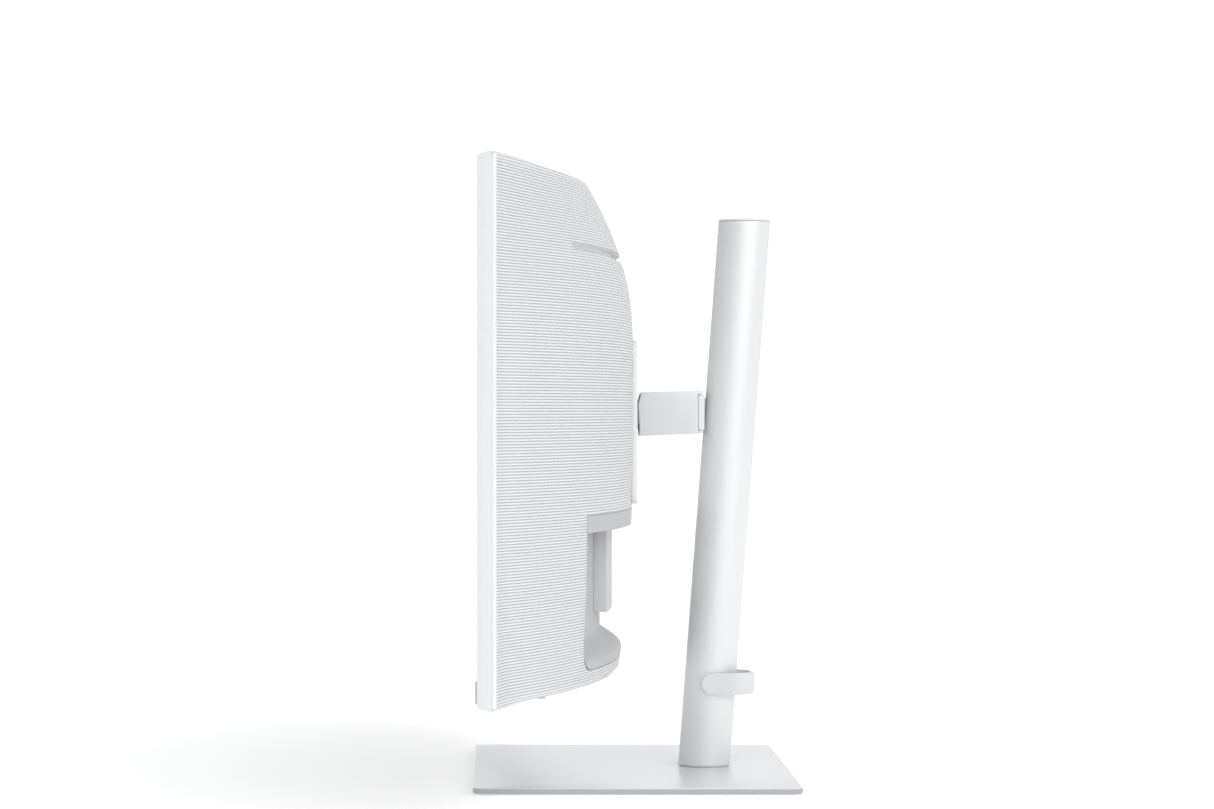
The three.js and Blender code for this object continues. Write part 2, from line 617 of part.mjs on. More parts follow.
function makePoleTube() {
  const tube = onPole(rod("z", TUBE_RADIUS, -20, 450, 0, 0, 48));
  const bore = onPole(rod("z", BORE_RADIUS, -30, 460, 0, 0, 32));
  const slotSide = POLE_SLOT_WIDTH / 2;
  const slot = onPole(block(-slotSide, -30, POLE_SLOT_LOW - BASE_TOP_Z, slotSide, 0,
    POLE_SLOT_HIGH - BASE_TOP_Z));
  return levelSlice(cut(tube, bore, slot), BASE_TOP_Z + 1.2, POLE_TOP_Z);
}

function makePoleCap() {
  const lid = onPole(rod("z", TUBE_RADIUS - 0.1, 380, 450, 0, 0, 48));
  const plug = onPole(rod("z", BORE_RADIUS - GAP, 380, 450, 0, 0, 32));
  return join(levelSlice(lid, POLE_TOP_Z + GAP, POLE_CAP_TOP_Z),
    levelSlice(plug, POLE_TOP_Z - 8, POLE_CAP_TOP_Z - 0.5));
}

const NECK_RADIUS = 17.6;

function makePoleFoot() {
  const plug = levelSlice(onPole(rod("z", BORE_RADIUS - GAP, -10, 60, 0, 0, 32)), BASE_TOP_Z + 1.1, 48);
  const neck = rod("z", NECK_RADIUS, 2.8, BASE_TOP_Z + 0.8, 0, POLE_FOOT_Y, 32);
  const link = rod("z", BORE_RADIUS - 1.2, 3, BASE_TOP_Z + 6, 0, POLE_FOOT_Y, 32);
  return cut(join(plug, neck, link), rod("z", 3.8, 0, 24, 0, POLE_FOOT_Y, 16));
}

function makeSwivelWasher() {
  const ring = rod("z", TUBE_RADIUS - 0.9, BASE_TOP_Z + 0.25, BASE_TOP_Z + 0.95, 0, POLE_FOOT_Y, 36);
  return cut(ring, rod("z", NECK_RADIUS + 0.3, 0, 20, 0, POLE_FOOT_Y, 36));
}

function makeSwivelFlange() {
  return cut(rod("z", 29.5, 1.25, 2.5, 0, POLE_FOOT_Y, 36), rod("z", 4, 0, 9, 0, POLE_FOOT_Y, 16));
}

function makePoleBolt() {
  const head = rod("z", 8, 0.35, 0.95, 0, POLE_FOOT_Y, 20);
  return join(head, rod("z", 3.4, 0.6, 22, 0, POLE_FOOT_Y, 16));
}

// Flattens the back of a carriage piece, so that it clears the spring strip in the bore.
function clearOfStrip(geometry) {
  return cut(geometry, block(-8, BORE_RADIUS - 2.4, 0, 8, BORE_RADIUS + 5, 500));
}

function makeLiftCarriage() {
  const body = rod("z", 14, CARRIAGE_HEIGHT - 22, CARRIAGE_HEIGHT + 22, 0, 0, 24);
  const shelf = rod("z", 11, CARRIAGE_HEIGHT - 24, CARRIAGE_HEIGHT - 21, 0, 0, 24);
  return onPole(clearOfStrip(join(body, shelf)));
}

function makeCarriagePad(from) {
  const low = CARRIAGE_HEIGHT + from;
  const ring = rod("z", BORE_RADIUS - 0.4, low, low + 7, 0, 0, 32);
  return onPole(clearOfStrip(cut(ring, rod("z", 14.3, low - 1, low + 8, 0, 0, 24))));
}

function makeSpringRoll() {
  const z = CARRIAGE_HEIGHT - 34;
  return onPole(cut(rod("x", 9.5, -6, 6, 0, z, 24), rod("x", 3, -8, 8, 0, z, 16)));
}

function makeSpringTail() {
  return onPole(block(-6, BORE_RADIUS - 1.9, 205, 6, BORE_RADIUS - 1.4, 405));
}

// ---- cable clip -----------------------------------------------------------------------------
const CLIP_FRONT_Y = 54.2;
const CLIP_REAR_Y = 95.4;
const CLIP_TALL = 16.6;
const CLIP_WALL = 1.8;
const CLIP_TURN_Y = 76;

function clipLoop(inset) {
  const half = TUBE_RADIUS + GAP + 0.2 + CLIP_WALL - inset;
  const outline = new THREE.Shape();
  outline.moveTo(-half, CLIP_FRONT_Y - 5 * Math.sign(inset));
  outline.lineTo(half, CLIP_FRONT_Y - 5 * Math.sign(inset));
  outline.lineTo(half, CLIP_TURN_Y);
  outline.absellipse(0, CLIP_TURN_Y, half, CLIP_REAR_Y - CLIP_TURN_Y - inset, 0, Math.PI);
  outline.closePath();
  return outline;
}

function makeCableClip() {
  const low = CLIP_HEIGHT - CLIP_TALL / 2 + 1.7;
  const loop = extrude(clipLoop(0), CLIP_TALL, 14).translate(0, 0, low);
  const inside = extrude(clipLoop(CLIP_WALL), CLIP_TALL + 4, 14).translate(0, 0, low - 2);
  const sideView = roundedOutline(CLIP_FRONT_Y, low, CLIP_REAR_Y + 12, low + CLIP_TALL, CLIP_TALL / 2 - 0.05);
  const band = common(cut(loop, inside), prismAlongX(sideView, -40, 40, 6));
  return cut(band, onPole(rod("z", TUBE_RADIUS + 0.45, 20, 120, 0, 0, 48)));
}

// ---- base -----------------------------------------------------------------------------------
function makeBasePlate() {
  const halfWidth = BASE_WIDTH / 2;
  const halfDepth = BASE_DEPTH / 2;
  const outline = roundedOutline(-halfWidth, -halfDepth, halfWidth, halfDepth, BASE_CORNER);
  const bevel = 0.8;
  const plate = new THREE.ExtrudeGeometry(outline, {
    depth: BASE_TOP_Z - BASE_BOTTOM_Z - 2 * bevel,
    curveSegments: 6,
    bevelThickness: bevel,
    bevelSize: bevel,
    bevelOffset: -bevel,
    bevelSegments: 1,
  }).translate(0, 0, BASE_BOTTOM_Z + bevel);
  const hole = rod("z", NECK_RADIUS + 0.4, -5, 20, 0, POLE_FOOT_Y, 32);
  const recess = rod("z", 30.2, -5, 2.85, 0, POLE_FOOT_Y, 36);
  return cut(plate, hole, recess);
}

const FOOT_INSET = 22;

function makeFoot(x, y) {
  return rod("z", 9, 0, BASE_BOTTOM_Z - GAP, x, y, 24);
}

// ---- assembly -------------------------------------------------------------------------------
const monitor = new THREE.Group();
const head = new THREE.Group();
head.position.z = HEAD_CENTRE_Z;
const stand = new THREE.Group();
monitor.add(head, stand);

function add(group, name, geometry, material) {
  const mesh = new THREE.Mesh(geometry, material);
  mesh.name = name;
  group.add(mesh);
}

const innerHalf = HALF_WIDTH - BAND_WALL - BAND_TAPER + 0.6;
const innerTop = HALF_HEIGHT - BAND_WALL - BAND_TAPER + 0.6;
const screenLow = -innerTop + CHIN_HEIGHT;
const chassisHalf = HALF_WIDTH - 12.5;
const chassisTop = HALF_HEIGHT - 12.5;

add(head, "frame_band", makeFrameBand(), WHITE_PLASTIC);
add(head, "front_glass", sheetBehind(0.5, 1.6, innerHalf, screenLow, innerTop, 24), SCREEN_BLACK);
add(head, "display_module", sheetBehind(1.9, 4.3, innerHalf, screenLow + 3, innerTop, 24), BLACK_PLASTIC);
add(head, "led_strip", sheetBehind(1.9, 4.2, innerHalf, screenLow + 0.2, screenLow + 2.6), NYLON);
add(head, "bottom_bezel", makeChin(), WHITE_PLASTIC);
add(head, "steel_chassis", sheetBehind(4.7, 5.7, chassisHalf, -chassisTop, chassisTop), STEEL);
add(head, "rear_cover", makeRearCover(), RIBBED_PLASTIC);
add(head, "vent_grille", makeVentGrille(), GREY_PLASTIC);
add(head, "port_bay", makePortBay(), WHITE_PLASTIC);
add(head, "port_housing", makePortHousing(), WHITE_PLASTIC);
for (const socket of SOCKETS) add(head, socket.name, makeSocket(socket), socket.material);
add(head, "power_jack", makeJack(POWER_JACK_X, 3.6, 2.75, 0.8, 13), BLACK_PLASTIC);
add(head, "audio_jack", makeJack(AUDIO_JACK_X, 3, 1.75, 0, 13), BLACK_PLASTIC);
add(head, "main_board", block(-105, -36.4, -150, 104, -34.8, -62), BOARD_GREEN);
add(head, "power_board", block(96, -49, -36, 196, -47.4, 60), BOARD_GREEN);
add(head, "stand_bracket", makeStandBracket(), STEEL);
add(head, "speaker_left", makeSpeaker(-1), BLACK_PLASTIC);
add(head, "speaker_right", makeSpeaker(1), BLACK_PLASTIC);
add(head, "jog_switch", makeJogSwitch(), BLACK_PLASTIC);
add(head, "jog_cradle", makeJogCradle(), NYLON);
add(head, "jog_stem", makeJogStem(), NYLON);
add(head, "jog_cap", makeJogCap(), GREY_PLASTIC);
COVER_SCREW_X.forEach((x, n) => add(head, `cover_screw_${n + 1}`, makeCoverScrew(x), STEEL));
add(head, "mount_plate", makeMountPlate(), WHITE_PLASTIC);
add(head, "release_button", makeReleaseButton(), WHITE_PLASTIC);
add(head, "tilt_bracket", makeTiltBracket(), STEEL);

add(stand, "arm_housing", makeArmHousing(), WHITE_METAL);
add(stand, "arm_core", makeArmCore(), ALUMINIUM);
add(stand, "arm_shoe", makeArmShoe(), WHITE_PLASTIC);
add(stand, "tilt_pin", makeTiltPin(), STEEL);
add(stand, "friction_washer_left", makeFrictionWasher(-1), BRASS);
add(stand, "friction_washer_right", makeFrictionWasher(1), BRASS);
add(stand, "lift_carriage", makeLiftCarriage(), ALUMINIUM);
add(stand, "carriage_pad_upper", makeCarriagePad(14.5), NYLON);
add(stand, "carriage_pad_lower", makeCarriagePad(-21.5), NYLON);
add(stand, "spring_roll", makeSpringRoll(), STEEL);
add(stand, "spring_tail", makeSpringTail(), STEEL);
add(stand, "pole_tube", makePoleTube(), WHITE_METAL);
add(stand, "pole_cap", makePoleCap(), WHITE_PLASTIC);
add(stand, "pole_foot", makePoleFoot(), ALUMINIUM);
add(stand, "swivel_washer", makeSwivelWasher(), NYLON);
add(stand, "swivel_flange", makeSwivelFlange(), STEEL);
add(stand, "pole_bolt", makePoleBolt(), STEEL);
add(stand, "cable_clip", makeCableClip(), WHITE_PLASTIC);
add(stand, "base_plate", makeBasePlate(), WHITE_METAL);
const footX = BASE_WIDTH / 2 - FOOT_INSET;
const footY = BASE_DEPTH / 2 - FOOT_INSET;
let footNumber = 1;
for (const x of [-footX, 0, footX]) {
  for (const y of [-footY, footY]) {
    add(stand, `base_foot_${footNumber}`, makeFoot(x, y), RUBBER);
    footNumber += 1;
  }
}

export default monitor;
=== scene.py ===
"""A wide curved desktop monitor on a leaning round pole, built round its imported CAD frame.

Metres, +Z up, screen facing -Y, origin at the centre of the base on the desk.
"""
import json
import math

import bpy
import numpy as np
from mathutils import Matrix, Vector


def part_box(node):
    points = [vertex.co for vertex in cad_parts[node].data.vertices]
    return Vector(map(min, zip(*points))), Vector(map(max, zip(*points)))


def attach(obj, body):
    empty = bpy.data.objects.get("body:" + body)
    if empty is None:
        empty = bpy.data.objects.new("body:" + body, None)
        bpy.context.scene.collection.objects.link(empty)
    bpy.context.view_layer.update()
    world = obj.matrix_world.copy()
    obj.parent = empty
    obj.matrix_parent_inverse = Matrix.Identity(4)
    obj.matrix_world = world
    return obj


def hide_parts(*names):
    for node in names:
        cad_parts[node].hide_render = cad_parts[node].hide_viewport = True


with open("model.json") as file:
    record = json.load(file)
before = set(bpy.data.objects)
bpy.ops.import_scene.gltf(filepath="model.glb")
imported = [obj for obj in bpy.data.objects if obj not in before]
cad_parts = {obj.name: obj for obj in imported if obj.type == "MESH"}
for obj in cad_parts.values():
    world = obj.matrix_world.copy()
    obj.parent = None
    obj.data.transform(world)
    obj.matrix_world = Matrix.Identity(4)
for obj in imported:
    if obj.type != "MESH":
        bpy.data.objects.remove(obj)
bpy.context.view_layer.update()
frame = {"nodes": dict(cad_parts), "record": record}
nodes = frame["nodes"]

# ---- sizes taken from the frame -------------------------------------------------------------
BAND_LOW, BAND_HIGH = map(Vector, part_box("frame_band"))
HEAD_CENTRE_Z = (BAND_LOW.z + BAND_HIGH.z) / 2
HALF_WIDTH = BAND_HIGH.x
HALF_HEIGHT = (BAND_HIGH.z - BAND_LOW.z) / 2
GLASS_LOW, GLASS_HIGH = map(Vector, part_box("front_glass"))
COVER_LOW, COVER_HIGH = map(Vector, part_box("rear_cover"))
COVER_HALF_HEIGHT = (COVER_HIGH.z - COVER_LOW.z) / 2
VENT_LOW, VENT_HIGH = map(Vector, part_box("vent_grille"))
JOG_LOW, JOG_HIGH = map(Vector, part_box("jog_cap"))
PLATE_LOW, PLATE_HIGH = map(Vector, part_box("mount_plate"))
BASE_LOW, BASE_HIGH = map(Vector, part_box("base_plate"))
POLE_LOW, POLE_HIGH = map(Vector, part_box("pole_tube"))
CLIP_LOW, CLIP_HIGH = map(Vector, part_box("cable_clip"))

# ---- the head's curved surfaces -------------------------------------------------------------
SCREEN_RADIUS = 1.5
BAND_DEPTH = 0.0096
BAND_WALL = 0.0018
BAND_TAPER = 0.0029
SHELF_WIDTH = 0.012
SHELF_FRONT = 0.0046
SHELF_REAR = 0.0058
SCREEN_MID_Y = BAND_HIGH.y - BAND_DEPTH
BACK_RADIUS = 0.8305
BACK_APEX_Y = 0.0021
COVER_EDGE_DEPTH = 0.0122
COVER_FRONT_DEPTH = 0.0064
TOP_FALL = 0.0375
TOP_FALL_START = 0.062
TOP_FALL_POWER = 2.18
LOW_FALL_START = -0.005
LOW_FALL_RATE = 0.36
LOWER_EDGE_RADIUS = 0.005
SURFACE_BLEND = 0.002
TOP_BLEND = 0.010
COVER_END_DEPTH = 0.0129
COVER_END_EASE_X = 0.372

# ---- the ribs: their pitch, and the plain border that ends them -----------------------------
RIB_PITCH = 0.002
RIB_COUNT = 179
RIB_DEPTH = 0.0007
RIB_LOW_Z = HEAD_CENTRE_Z - RIB_PITCH * RIB_COUNT / 2
RIB_END_X = 0.4
COVER_WALL = 0.0019

# ---- the vent near the top; heights are from the head's centre ------------------------------
FIT_GAP = 0.0003
VENT_LOW_Z = VENT_LOW.z - FIT_GAP - HEAD_CENTRE_Z
VENT_HIGH_Z = VENT_HIGH.z + FIT_GAP - HEAD_CENTRE_Z
VENT_HALF_WIDTH = VENT_HIGH.x + FIT_GAP
VENT_LIP_RADIUS = 0.0032
VENT_END_FADE = 0.0025
VENT_DEPTH = 0.007
VENT_RIM_DEPTH = 0.0022
VENT_END_WALL = 0.0004

# ---- the cable bay and its sockets; heights are from the head's centre ----------------------
BAY_TOP_HALF = 0.254
BAY_LOW_HALF = 0.241
BAY_TOP_Z = -0.060
BAY_BOTTOM_Z = -0.170
BAY_CORNER = 0.026
BAY_CORNER_INSET = 0.032
BAY_POCKET_TOP_Z = -0.072
BAY_LIP_Z = -0.165
BAY_FLOOR_END_Z = -0.149
BAY_DEPTH = 0.0256
BAY_SIDE_RUN = 0.0026
BAY_CEILING_RUN = 0.0022
HOUSING_REAR_DEPTH = 0.0163
SOCKET_NODES = ("hdmi_socket_1", "hdmi_socket_2", "display_socket", "usb_c_socket", "usb_a_socket_1",
                "usb_a_socket_2", "power_jack", "audio_jack")

# ---- the stand ------------------------------------------------------------------------------
POLE_RADIUS = (POLE_HIGH.x - POLE_LOW.x) / 2
POLE_WALL = 0.0024
LEAN = math.radians(4.26)
POLE_FOOT = Vector((0, 0.0567, 0.005))
POLE_AXIS = Vector((0, math.sin(LEAN), math.cos(LEAN)))
SLOT_LOW, SLOT_HIGH, SLOT_HALF_WIDTH = 0.238, 0.405, 0.0035
POLE_CAP_THICKNESS = 0.0015
CLIP_WALL = 0.0018
CLIP_TURN_Y = 0.076
CLIP_REAR_ROUNDING = 0.004
ARM_LIP = 0.0034
ARM_WALL = 0.0022
ARM_NARROWING = 0.10
ARM_NOSE_HEIGHT = 0.0242
ARM_HOLLOW_LOW_Z, ARM_HOLLOW_HIGH_Z = 0.2614, 0.2886
NECK_SLOT_HALF, NECK_SLOT_LOW_Z, NECK_SLOT_HIGH_Z = 0.0034, 0.2626, 0.2874
SHOE_HALF_WIDTH = 0.0196
SHOE_END_Y = 0.0561
BASE_CORNER = 0.007
BEARING_RECESS_RADIUS, BEARING_RECESS_TOP_Z = 0.0302, 0.00285
NECK_HOLE_RADIUS = 0.018


def screen_y(x):
    return SCREEN_MID_Y - SCREEN_RADIUS + np.sqrt(SCREEN_RADIUS**2 - x**2)


def bulge_y(x):
    return BACK_APEX_Y - BACK_RADIUS + np.sqrt(BACK_RADIUS**2 - x**2)


def fall(z):
    """How far the back has dropped from its flat middle at height z from the head's centre."""
    up = np.clip((z - TOP_FALL_START) / (HALF_HEIGHT - TOP_FALL_START), 0, None)
    down = np.clip(LOW_FALL_START - z, 0, None)
    edge = np.clip(LOWER_EDGE_RADIUS - COVER_HALF_HEIGHT - z, 0, LOWER_EDGE_RADIUS)
    rounding = LOWER_EDGE_RADIUS - np.sqrt(LOWER_EDGE_RADIUS**2 - edge**2)
    return TOP_FALL * up**TOP_FALL_POWER + LOW_FALL_RATE * down**2 + rounding


def smoothstep(value):
    value = np.clip(value, 0, 1)
    return value * value * (3 - 2 * value)


def back_y(x, z):
    """The back surface: a cylinder that falls away at top and bottom and eases into the head's ends."""
    bulge = bulge_y(x) - fall(z)
    skirt = screen_y(x) + COVER_EDGE_DEPTH
    up = np.clip((z - TOP_FALL_START) / (HALF_HEIGHT - TOP_FALL_START), 0, 1)
    joined = (bulge + skirt + np.hypot(bulge - skirt, SURFACE_BLEND + TOP_BLEND * up)) / 2
    near_end = smoothstep((np.abs(x) - COVER_END_EASE_X) / (COVER_HIGH.x - COVER_END_EASE_X))
    return joined + (screen_y(x) + COVER_END_DEPTH - joined) * near_end


# ---- shader writing -------------------------------------------------------------------------
class Value:
    """A socket that can be used in sums: each operator adds one Math node."""

    def __init__(self, finish, socket):
        self.finish = finish
        self.socket = socket

    def math(self, operation, *others):
        return self.finish.node("ShaderNodeMath", {"operation": operation}, [self, *others])

    def __add__(self, other):
        return self.math("ADD", other)

    def __mul__(self, other):
        return self.math("MULTIPLY", other)

    def __sub__(self, other):
        return self.math("SUBTRACT", other)

    def __rsub__(self, other):
        return self.finish.node("ShaderNodeMath", {"operation": "SUBTRACT"}, [other, self])

    def __pow__(self, other):
        return self.math("POWER", other)

    __radd__ = __add__
    __rmul__ = __mul__


class NodeTree:
    """A node tree whose nodes are added one call at a time."""

    def __init__(self, tree):
        self.tree = tree

    def node(self, kind, settings, inputs, output=0):
        added = self.tree.nodes.new(kind)
        for key, value in settings.items():
            setattr(added, key, value)
        pairs = inputs.items() if isinstance(inputs, dict) else enumerate(inputs)
        for key, value in pairs:
            if isinstance(value, Value):
                self.tree.links.new(value.socket, added.inputs[key])
            else:
                added.inputs[key].default_value = value
        return Value(self, added.outputs[output])


class Finish(NodeTree):
    """One material. Its constant values go straight on the Principled shader."""

    def __init__(self, name, constants=None):
        self.material = bpy.data.materials.new(name)
        self.material.use_nodes = True
        super().__init__(self.material.node_tree)
        self.shader = self.tree.nodes["Principled BSDF"]
        for key, value in (constants or {}).items():
            self.shader.inputs[key].default_value = value
        self.place = self.node("ShaderNodeTexCoord", {}, [], "Object")

    def feed(self, name, value):
        self.tree.links.new(value.socket, self.shader.inputs[name])

    def noise(self, scale, detail=3.0, roughness=0.5, vector=None):
        source = vector or self.place
        inputs = {"Vector": source, "Scale": scale, "Detail": detail, "Roughness": roughness}
        return self.node("ShaderNodeTexNoise", {}, inputs, "Fac")

    def stretched(self, x, y, z):
        return self.node("ShaderNodeMapping", {}, {"Vector": self.place, "Scale": (x, y, z)})

    def mix(self, factor, first, second):
        return self.node("ShaderNodeMix", {"data_type": "RGBA"}, {0: factor, 6: first, 7: second}, 2)

    def bump(self, height, strength, distance):
        inputs = {"Strength": strength, "Distance": distance, "Height": height}
        self.feed("Normal", self.node("ShaderNodeBump", {}, inputs))

    def height(self):
        return self.node("ShaderNodeSeparateXYZ", {}, [self.place], 2)

    def beside(self):
        """Distance to either side of the object's middle."""
        return self.node("ShaderNodeSeparateXYZ", {}, [self.place], 0).math("ABSOLUTE")

    def orange_peel(self, roughness):
        self.feed("Roughness", roughness + self.noise(60, 4) * 0.02)
        self.bump(self.noise(900, 2), 0.02, 0.000004)


def grey(level, tint=0.0):
    return (level - tint, level - tint * 0.4, level + tint, 1.0)


def moulded_plastic(name, level, tint=0.004, roughness=0.5, grain=2600, relief=0.00004):
    """Spark-eroded moulded plastic: fine grain, faint flow mottling and handling haze."""
    finish = Finish(name, {"Specular IOR Level": 0.4})
    mottle = finish.noise(9, 4)
    fine = finish.noise(grain, 2)
    darker, lighter = grey(level * 0.985, tint), grey(min(1, level * 1.015), tint * 0.6)
    finish.feed("Base Color", finish.mix(mottle, darker, lighter))
    finish.feed("Roughness", roughness - 0.06 + finish.noise(24, 5) * 0.08 + fine * 0.05)
    finish.bump(fine, 0.25, relief)
    return finish.material


def ribbed_plastic():
    """The cover's plastic: the same white, with painted shade darkening the grooves between the ribs."""
    finish = Finish("ribbed_white_plastic", {"Specular IOR Level": 0.35})
    across = finish.height() * (1 / RIB_PITCH) - RIB_LOW_Z / RIB_PITCH
    groove = (across.math("FRACT") - 0.5).math("ABSOLUTE") * 2
    ribbed = finish.beside().math("LESS_THAN", RIB_END_X)
    # painted shade: the grooves are mixed towards a dark grey to stand in for the shade between the ribs
    shade = groove ** 1.6 * GROOVE_SHADE * ribbed
    mottle = finish.noise(7, 4)
    level = finish.mix(mottle, grey(0.83, 0.004), grey(0.85, 0.003))
    finish.feed("Base Color", finish.mix(shade, level, grey(0.32, 0.004)))
    finish.feed("Roughness", 0.5 + finish.noise(30, 4) * 0.06)
    finish.bump(finish.noise(1500, 2), 0.03, 0.000005)
    return finish.material


def satin_metal(name, level, roughness, metallic):
    """White pearl paint on metal: a part-metallic sheen with a barely felt orange peel."""
    finish = Finish(name, {"Metallic": metallic, "Specular IOR Level": 0.5})
    mottle = finish.noise(5, 3)
    finish.feed("Base Color", finish.mix(mottle, grey(level * 0.99, 0.004), grey(level * 1.01, 0.003)))
    finish.orange_peel(roughness - 0.01)
    return finish.material


def base_finish():
    """The base's pearl paint under a thin clear coat, with painted shade: its sides below the top face are
    coloured a darker grey.
    """
    finish = Finish("base_pearl_paint", {"Metallic": 0.3, "Coat Weight": 0.3, "Coat Roughness": 0.3})
    mottle = finish.noise(5, 3)
    # painted shade: everything below the top face takes the dark grey, standing in for the shade on the
    # base's sides
    edge = finish.height().math("LESS_THAN", BASE_HIGH.z - 0.0006)
    top = finish.mix(mottle, grey(0.835, 0.004), grey(0.845, 0.003))
    finish.feed("Base Color", finish.mix(edge, top, grey(0.42, 0.003)))
    finish.orange_peel(0.31)
    return finish.material


def bare_metal(name, colour, roughness, metallic=1.0, streak=(1, 1, 60)):
    """Plated or cast metal with drawn streaks and small stains."""
    finish = Finish(name, {"Metallic": metallic})
    streaks = finish.noise(140, 4, 0.6, finish.stretched(*streak))
    stain = finish.noise(35, 5)
    darker = tuple(c * 0.82 for c in colour) + (1.0,)
    finish.feed("Base Color", finish.mix(stain, (*colour, 1.0), darker))
    finish.feed("Roughness", roughness - 0.08 + streaks * 0.18)
    finish.bump(streaks, 0.15, 0.00005)
    return finish.material


def screen_finish():
    """Anti-glare display: a black border round a slightly lighter active area."""
    finish = Finish("antiglare_display", {"Specular IOR Level": 0.25})
    above = (finish.height() - SCREEN_CENTRE_Z).math("ABSOLUTE")
    inside_x = finish.beside().math("LESS_THAN", SCREEN_HALF_WIDTH)
    inside_z = above.math("LESS_THAN", SCREEN_HALF_HEIGHT)
    active = inside_x * inside_z
    cloud = finish.noise(4, 3)
    lit = finish.mix(cloud, (0.0105, 0.011, 0.0125, 1), (0.013, 0.0135, 0.0155, 1))
    finish.feed("Base Color", finish.mix(active, (0.0035, 0.0035, 0.004, 1), lit))
    finish.feed("Roughness", 0.33 + finish.noise(1800, 2) * 0.06 - active * 0.03)
    finish.bump(finish.noise(3200, 2), 0.1, 0.00002)
    return finish.material


def rubber_finish():
    finish = Finish("black_rubber", {"Specular IOR Level": 0.3})
    dust = finish.noise(60, 5)
    finish.feed("Base Color", finish.mix(dust, (0.03, 0.03, 0.032, 1), (0.07, 0.07, 0.07, 1)))
    finish.feed("Roughness", 0.75 + dust * 0.2)
    finish.bump(finish.noise(900, 3), 0.3, 0.0001)
    return finish.material


def board_finish():
    """Green solder mask over a plain lattice of copper runs."""
    finish = Finish("circuit_board", {"Specular IOR Level": 0.5})
    runs = finish.node("ShaderNodeTexVoronoi", {"distance": "CHEBYCHEV"},
                       {"Vector": finish.place, "Scale": 260.0})
    edge = runs.math("LESS_THAN", 0.28)
    cloud = finish.noise(30, 3)
    mask = finish.mix(cloud, (0.012, 0.10, 0.045, 1), (0.02, 0.15, 0.07, 1))
    finish.feed("Base Color", finish.mix(edge * 0.6, mask, (0.10, 0.26, 0.10, 1)))
    finish.feed("Roughness", 0.38 + cloud * 0.1)
    finish.bump(edge, 0.2, 0.0001)
    return finish.material


# ---- modelling helpers ----------------------------------------------------------------------
def deselect():
    if bpy.context.object and bpy.context.object.mode != "OBJECT":
        bpy.ops.object.mode_set(mode="OBJECT")
    bpy.ops.object.select_all(action="DESELECT")


def started(name):
    piece = bpy.context.object
    piece.name = name
    piece.data.name = name
    return piece


def make_active(piece):
    deselect()
    piece.select_set(True)
    bpy.context.view_layer.objects.active = piece


def settle(piece):
    """Puts the piece's place into its mesh, so that its object sits at the origin."""
    make_active(piece)
    bpy.ops.object.transform_apply(location=True, rotation=True, scale=True)


def box_piece(name, low, high):
    deselect()
    low, high = Vector(low), Vector(high)
    bpy.ops.mesh.primitive_cube_add(size=1, location=(low + high) / 2, scale=high - low)
    piece = started(name)
    settle(piece)
    return piece


def rod_piece(name, radius, start, end, sides=64, caps="NGON"):
    """A cylinder whose axis runs from start to end."""
    deselect()
    start, end = Vector(start), Vector(end)
    turn = (end - start).to_track_quat("Z", "Y").to_euler()
    bpy.ops.mesh.primitive_cylinder_add(
        vertices=sides, radius=radius, depth=(end - start).length, end_fill_type=caps,
        location=(start + end) / 2, rotation=turn)
    piece = started(name)
    settle(piece)
    return piece


def coordinates(piece):
    flat = np.empty(len(piece.data.vertices) * 3)
    piece.data.vertices.foreach_get("co", flat)
    return flat.reshape(-1, 3)


def move_vertices(piece, points):
    piece.data.vertices.foreach_set("co", np.ascontiguousarray(points).ravel())
    piece.data.update()


def sheet_piece(name, columns, rows, place):
    """A grid primitive whose column i and row j land on place(columns[i], rows[j])."""
    deselect()
    bpy.ops.mesh.primitive_grid_add(x_subdivisions=len(columns) - 1, y_subdivisions=len(rows) - 1, size=1)
    piece = started(name)
    at = coordinates(piece)
    column = np.rint((at[:, 0] + 0.5) * (len(columns) - 1)).astype(int)
    row = np.rint((at[:, 1] + 0.5) * (len(rows) - 1)).astype(int)
    x, y, z = place(np.asarray(columns)[column], np.asarray(rows)[row])
    move_vertices(piece, np.stack(np.broadcast_arrays(x, y, z), axis=1))
    return piece


def pick_faces(piece, test):
    """Selects the faces whose centre and normal pass the test, and opens edit mode."""
    make_active(piece)
    bpy.ops.object.mode_set(mode="EDIT")
    bpy.ops.mesh.select_mode(type="FACE")
    bpy.ops.mesh.select_all(action="DESELECT")
    bpy.ops.object.mode_set(mode="OBJECT")
    for face in piece.data.polygons:
        face.select = bool(test(face.center, face.normal))
    bpy.ops.object.mode_set(mode="EDIT")


def pick_edges(piece, test):
    """Selects the edges whose two ends pass the test, and opens edit mode."""
    make_active(piece)
    bpy.ops.object.mode_set(mode="EDIT")
    bpy.ops.mesh.select_mode(type="EDGE")
    bpy.ops.mesh.select_all(action="DESELECT")
    bpy.ops.object.mode_set(mode="OBJECT")
    points = piece.data.vertices
    for edge in piece.data.edges:
        first, second = (points[i].co for i in edge.vertices)
        edge.select = bool(test(first, second))
    bpy.ops.object.mode_set(mode="EDIT")


def pick_all(piece):
    """Selects the whole piece and opens edit mode."""
    make_active(piece)
    bpy.ops.object.mode_set(mode="EDIT")
    bpy.ops.mesh.select_all(action="SELECT")


def leave_edit():
    bpy.ops.object.mode_set(mode="OBJECT")


def along(axis):
    """True for an edge that runs along that axis."""
    others = [n for n in range(3) if n != axis]

    def runs_along(a, b):
        return all(abs(a[n] - b[n]) < 1e-5 for n in others) and abs(a[axis] - b[axis]) > 1e-5

    return runs_along


def bevel_edges(piece, test, width, segments=4):
    pick_edges(piece, test)
    bpy.ops.mesh.bevel(offset=width, segments=segments, profile=0.5, affect="EDGES")
    leave_edit()


def slice_into(piece, axis, cuts):
    """Divides every edge that runs along the axis, which rings the piece with new loops."""
    pick_edges(piece, along(axis))
    bpy.ops.mesh.subdivide(number_cuts=cuts)
    leave_edit()


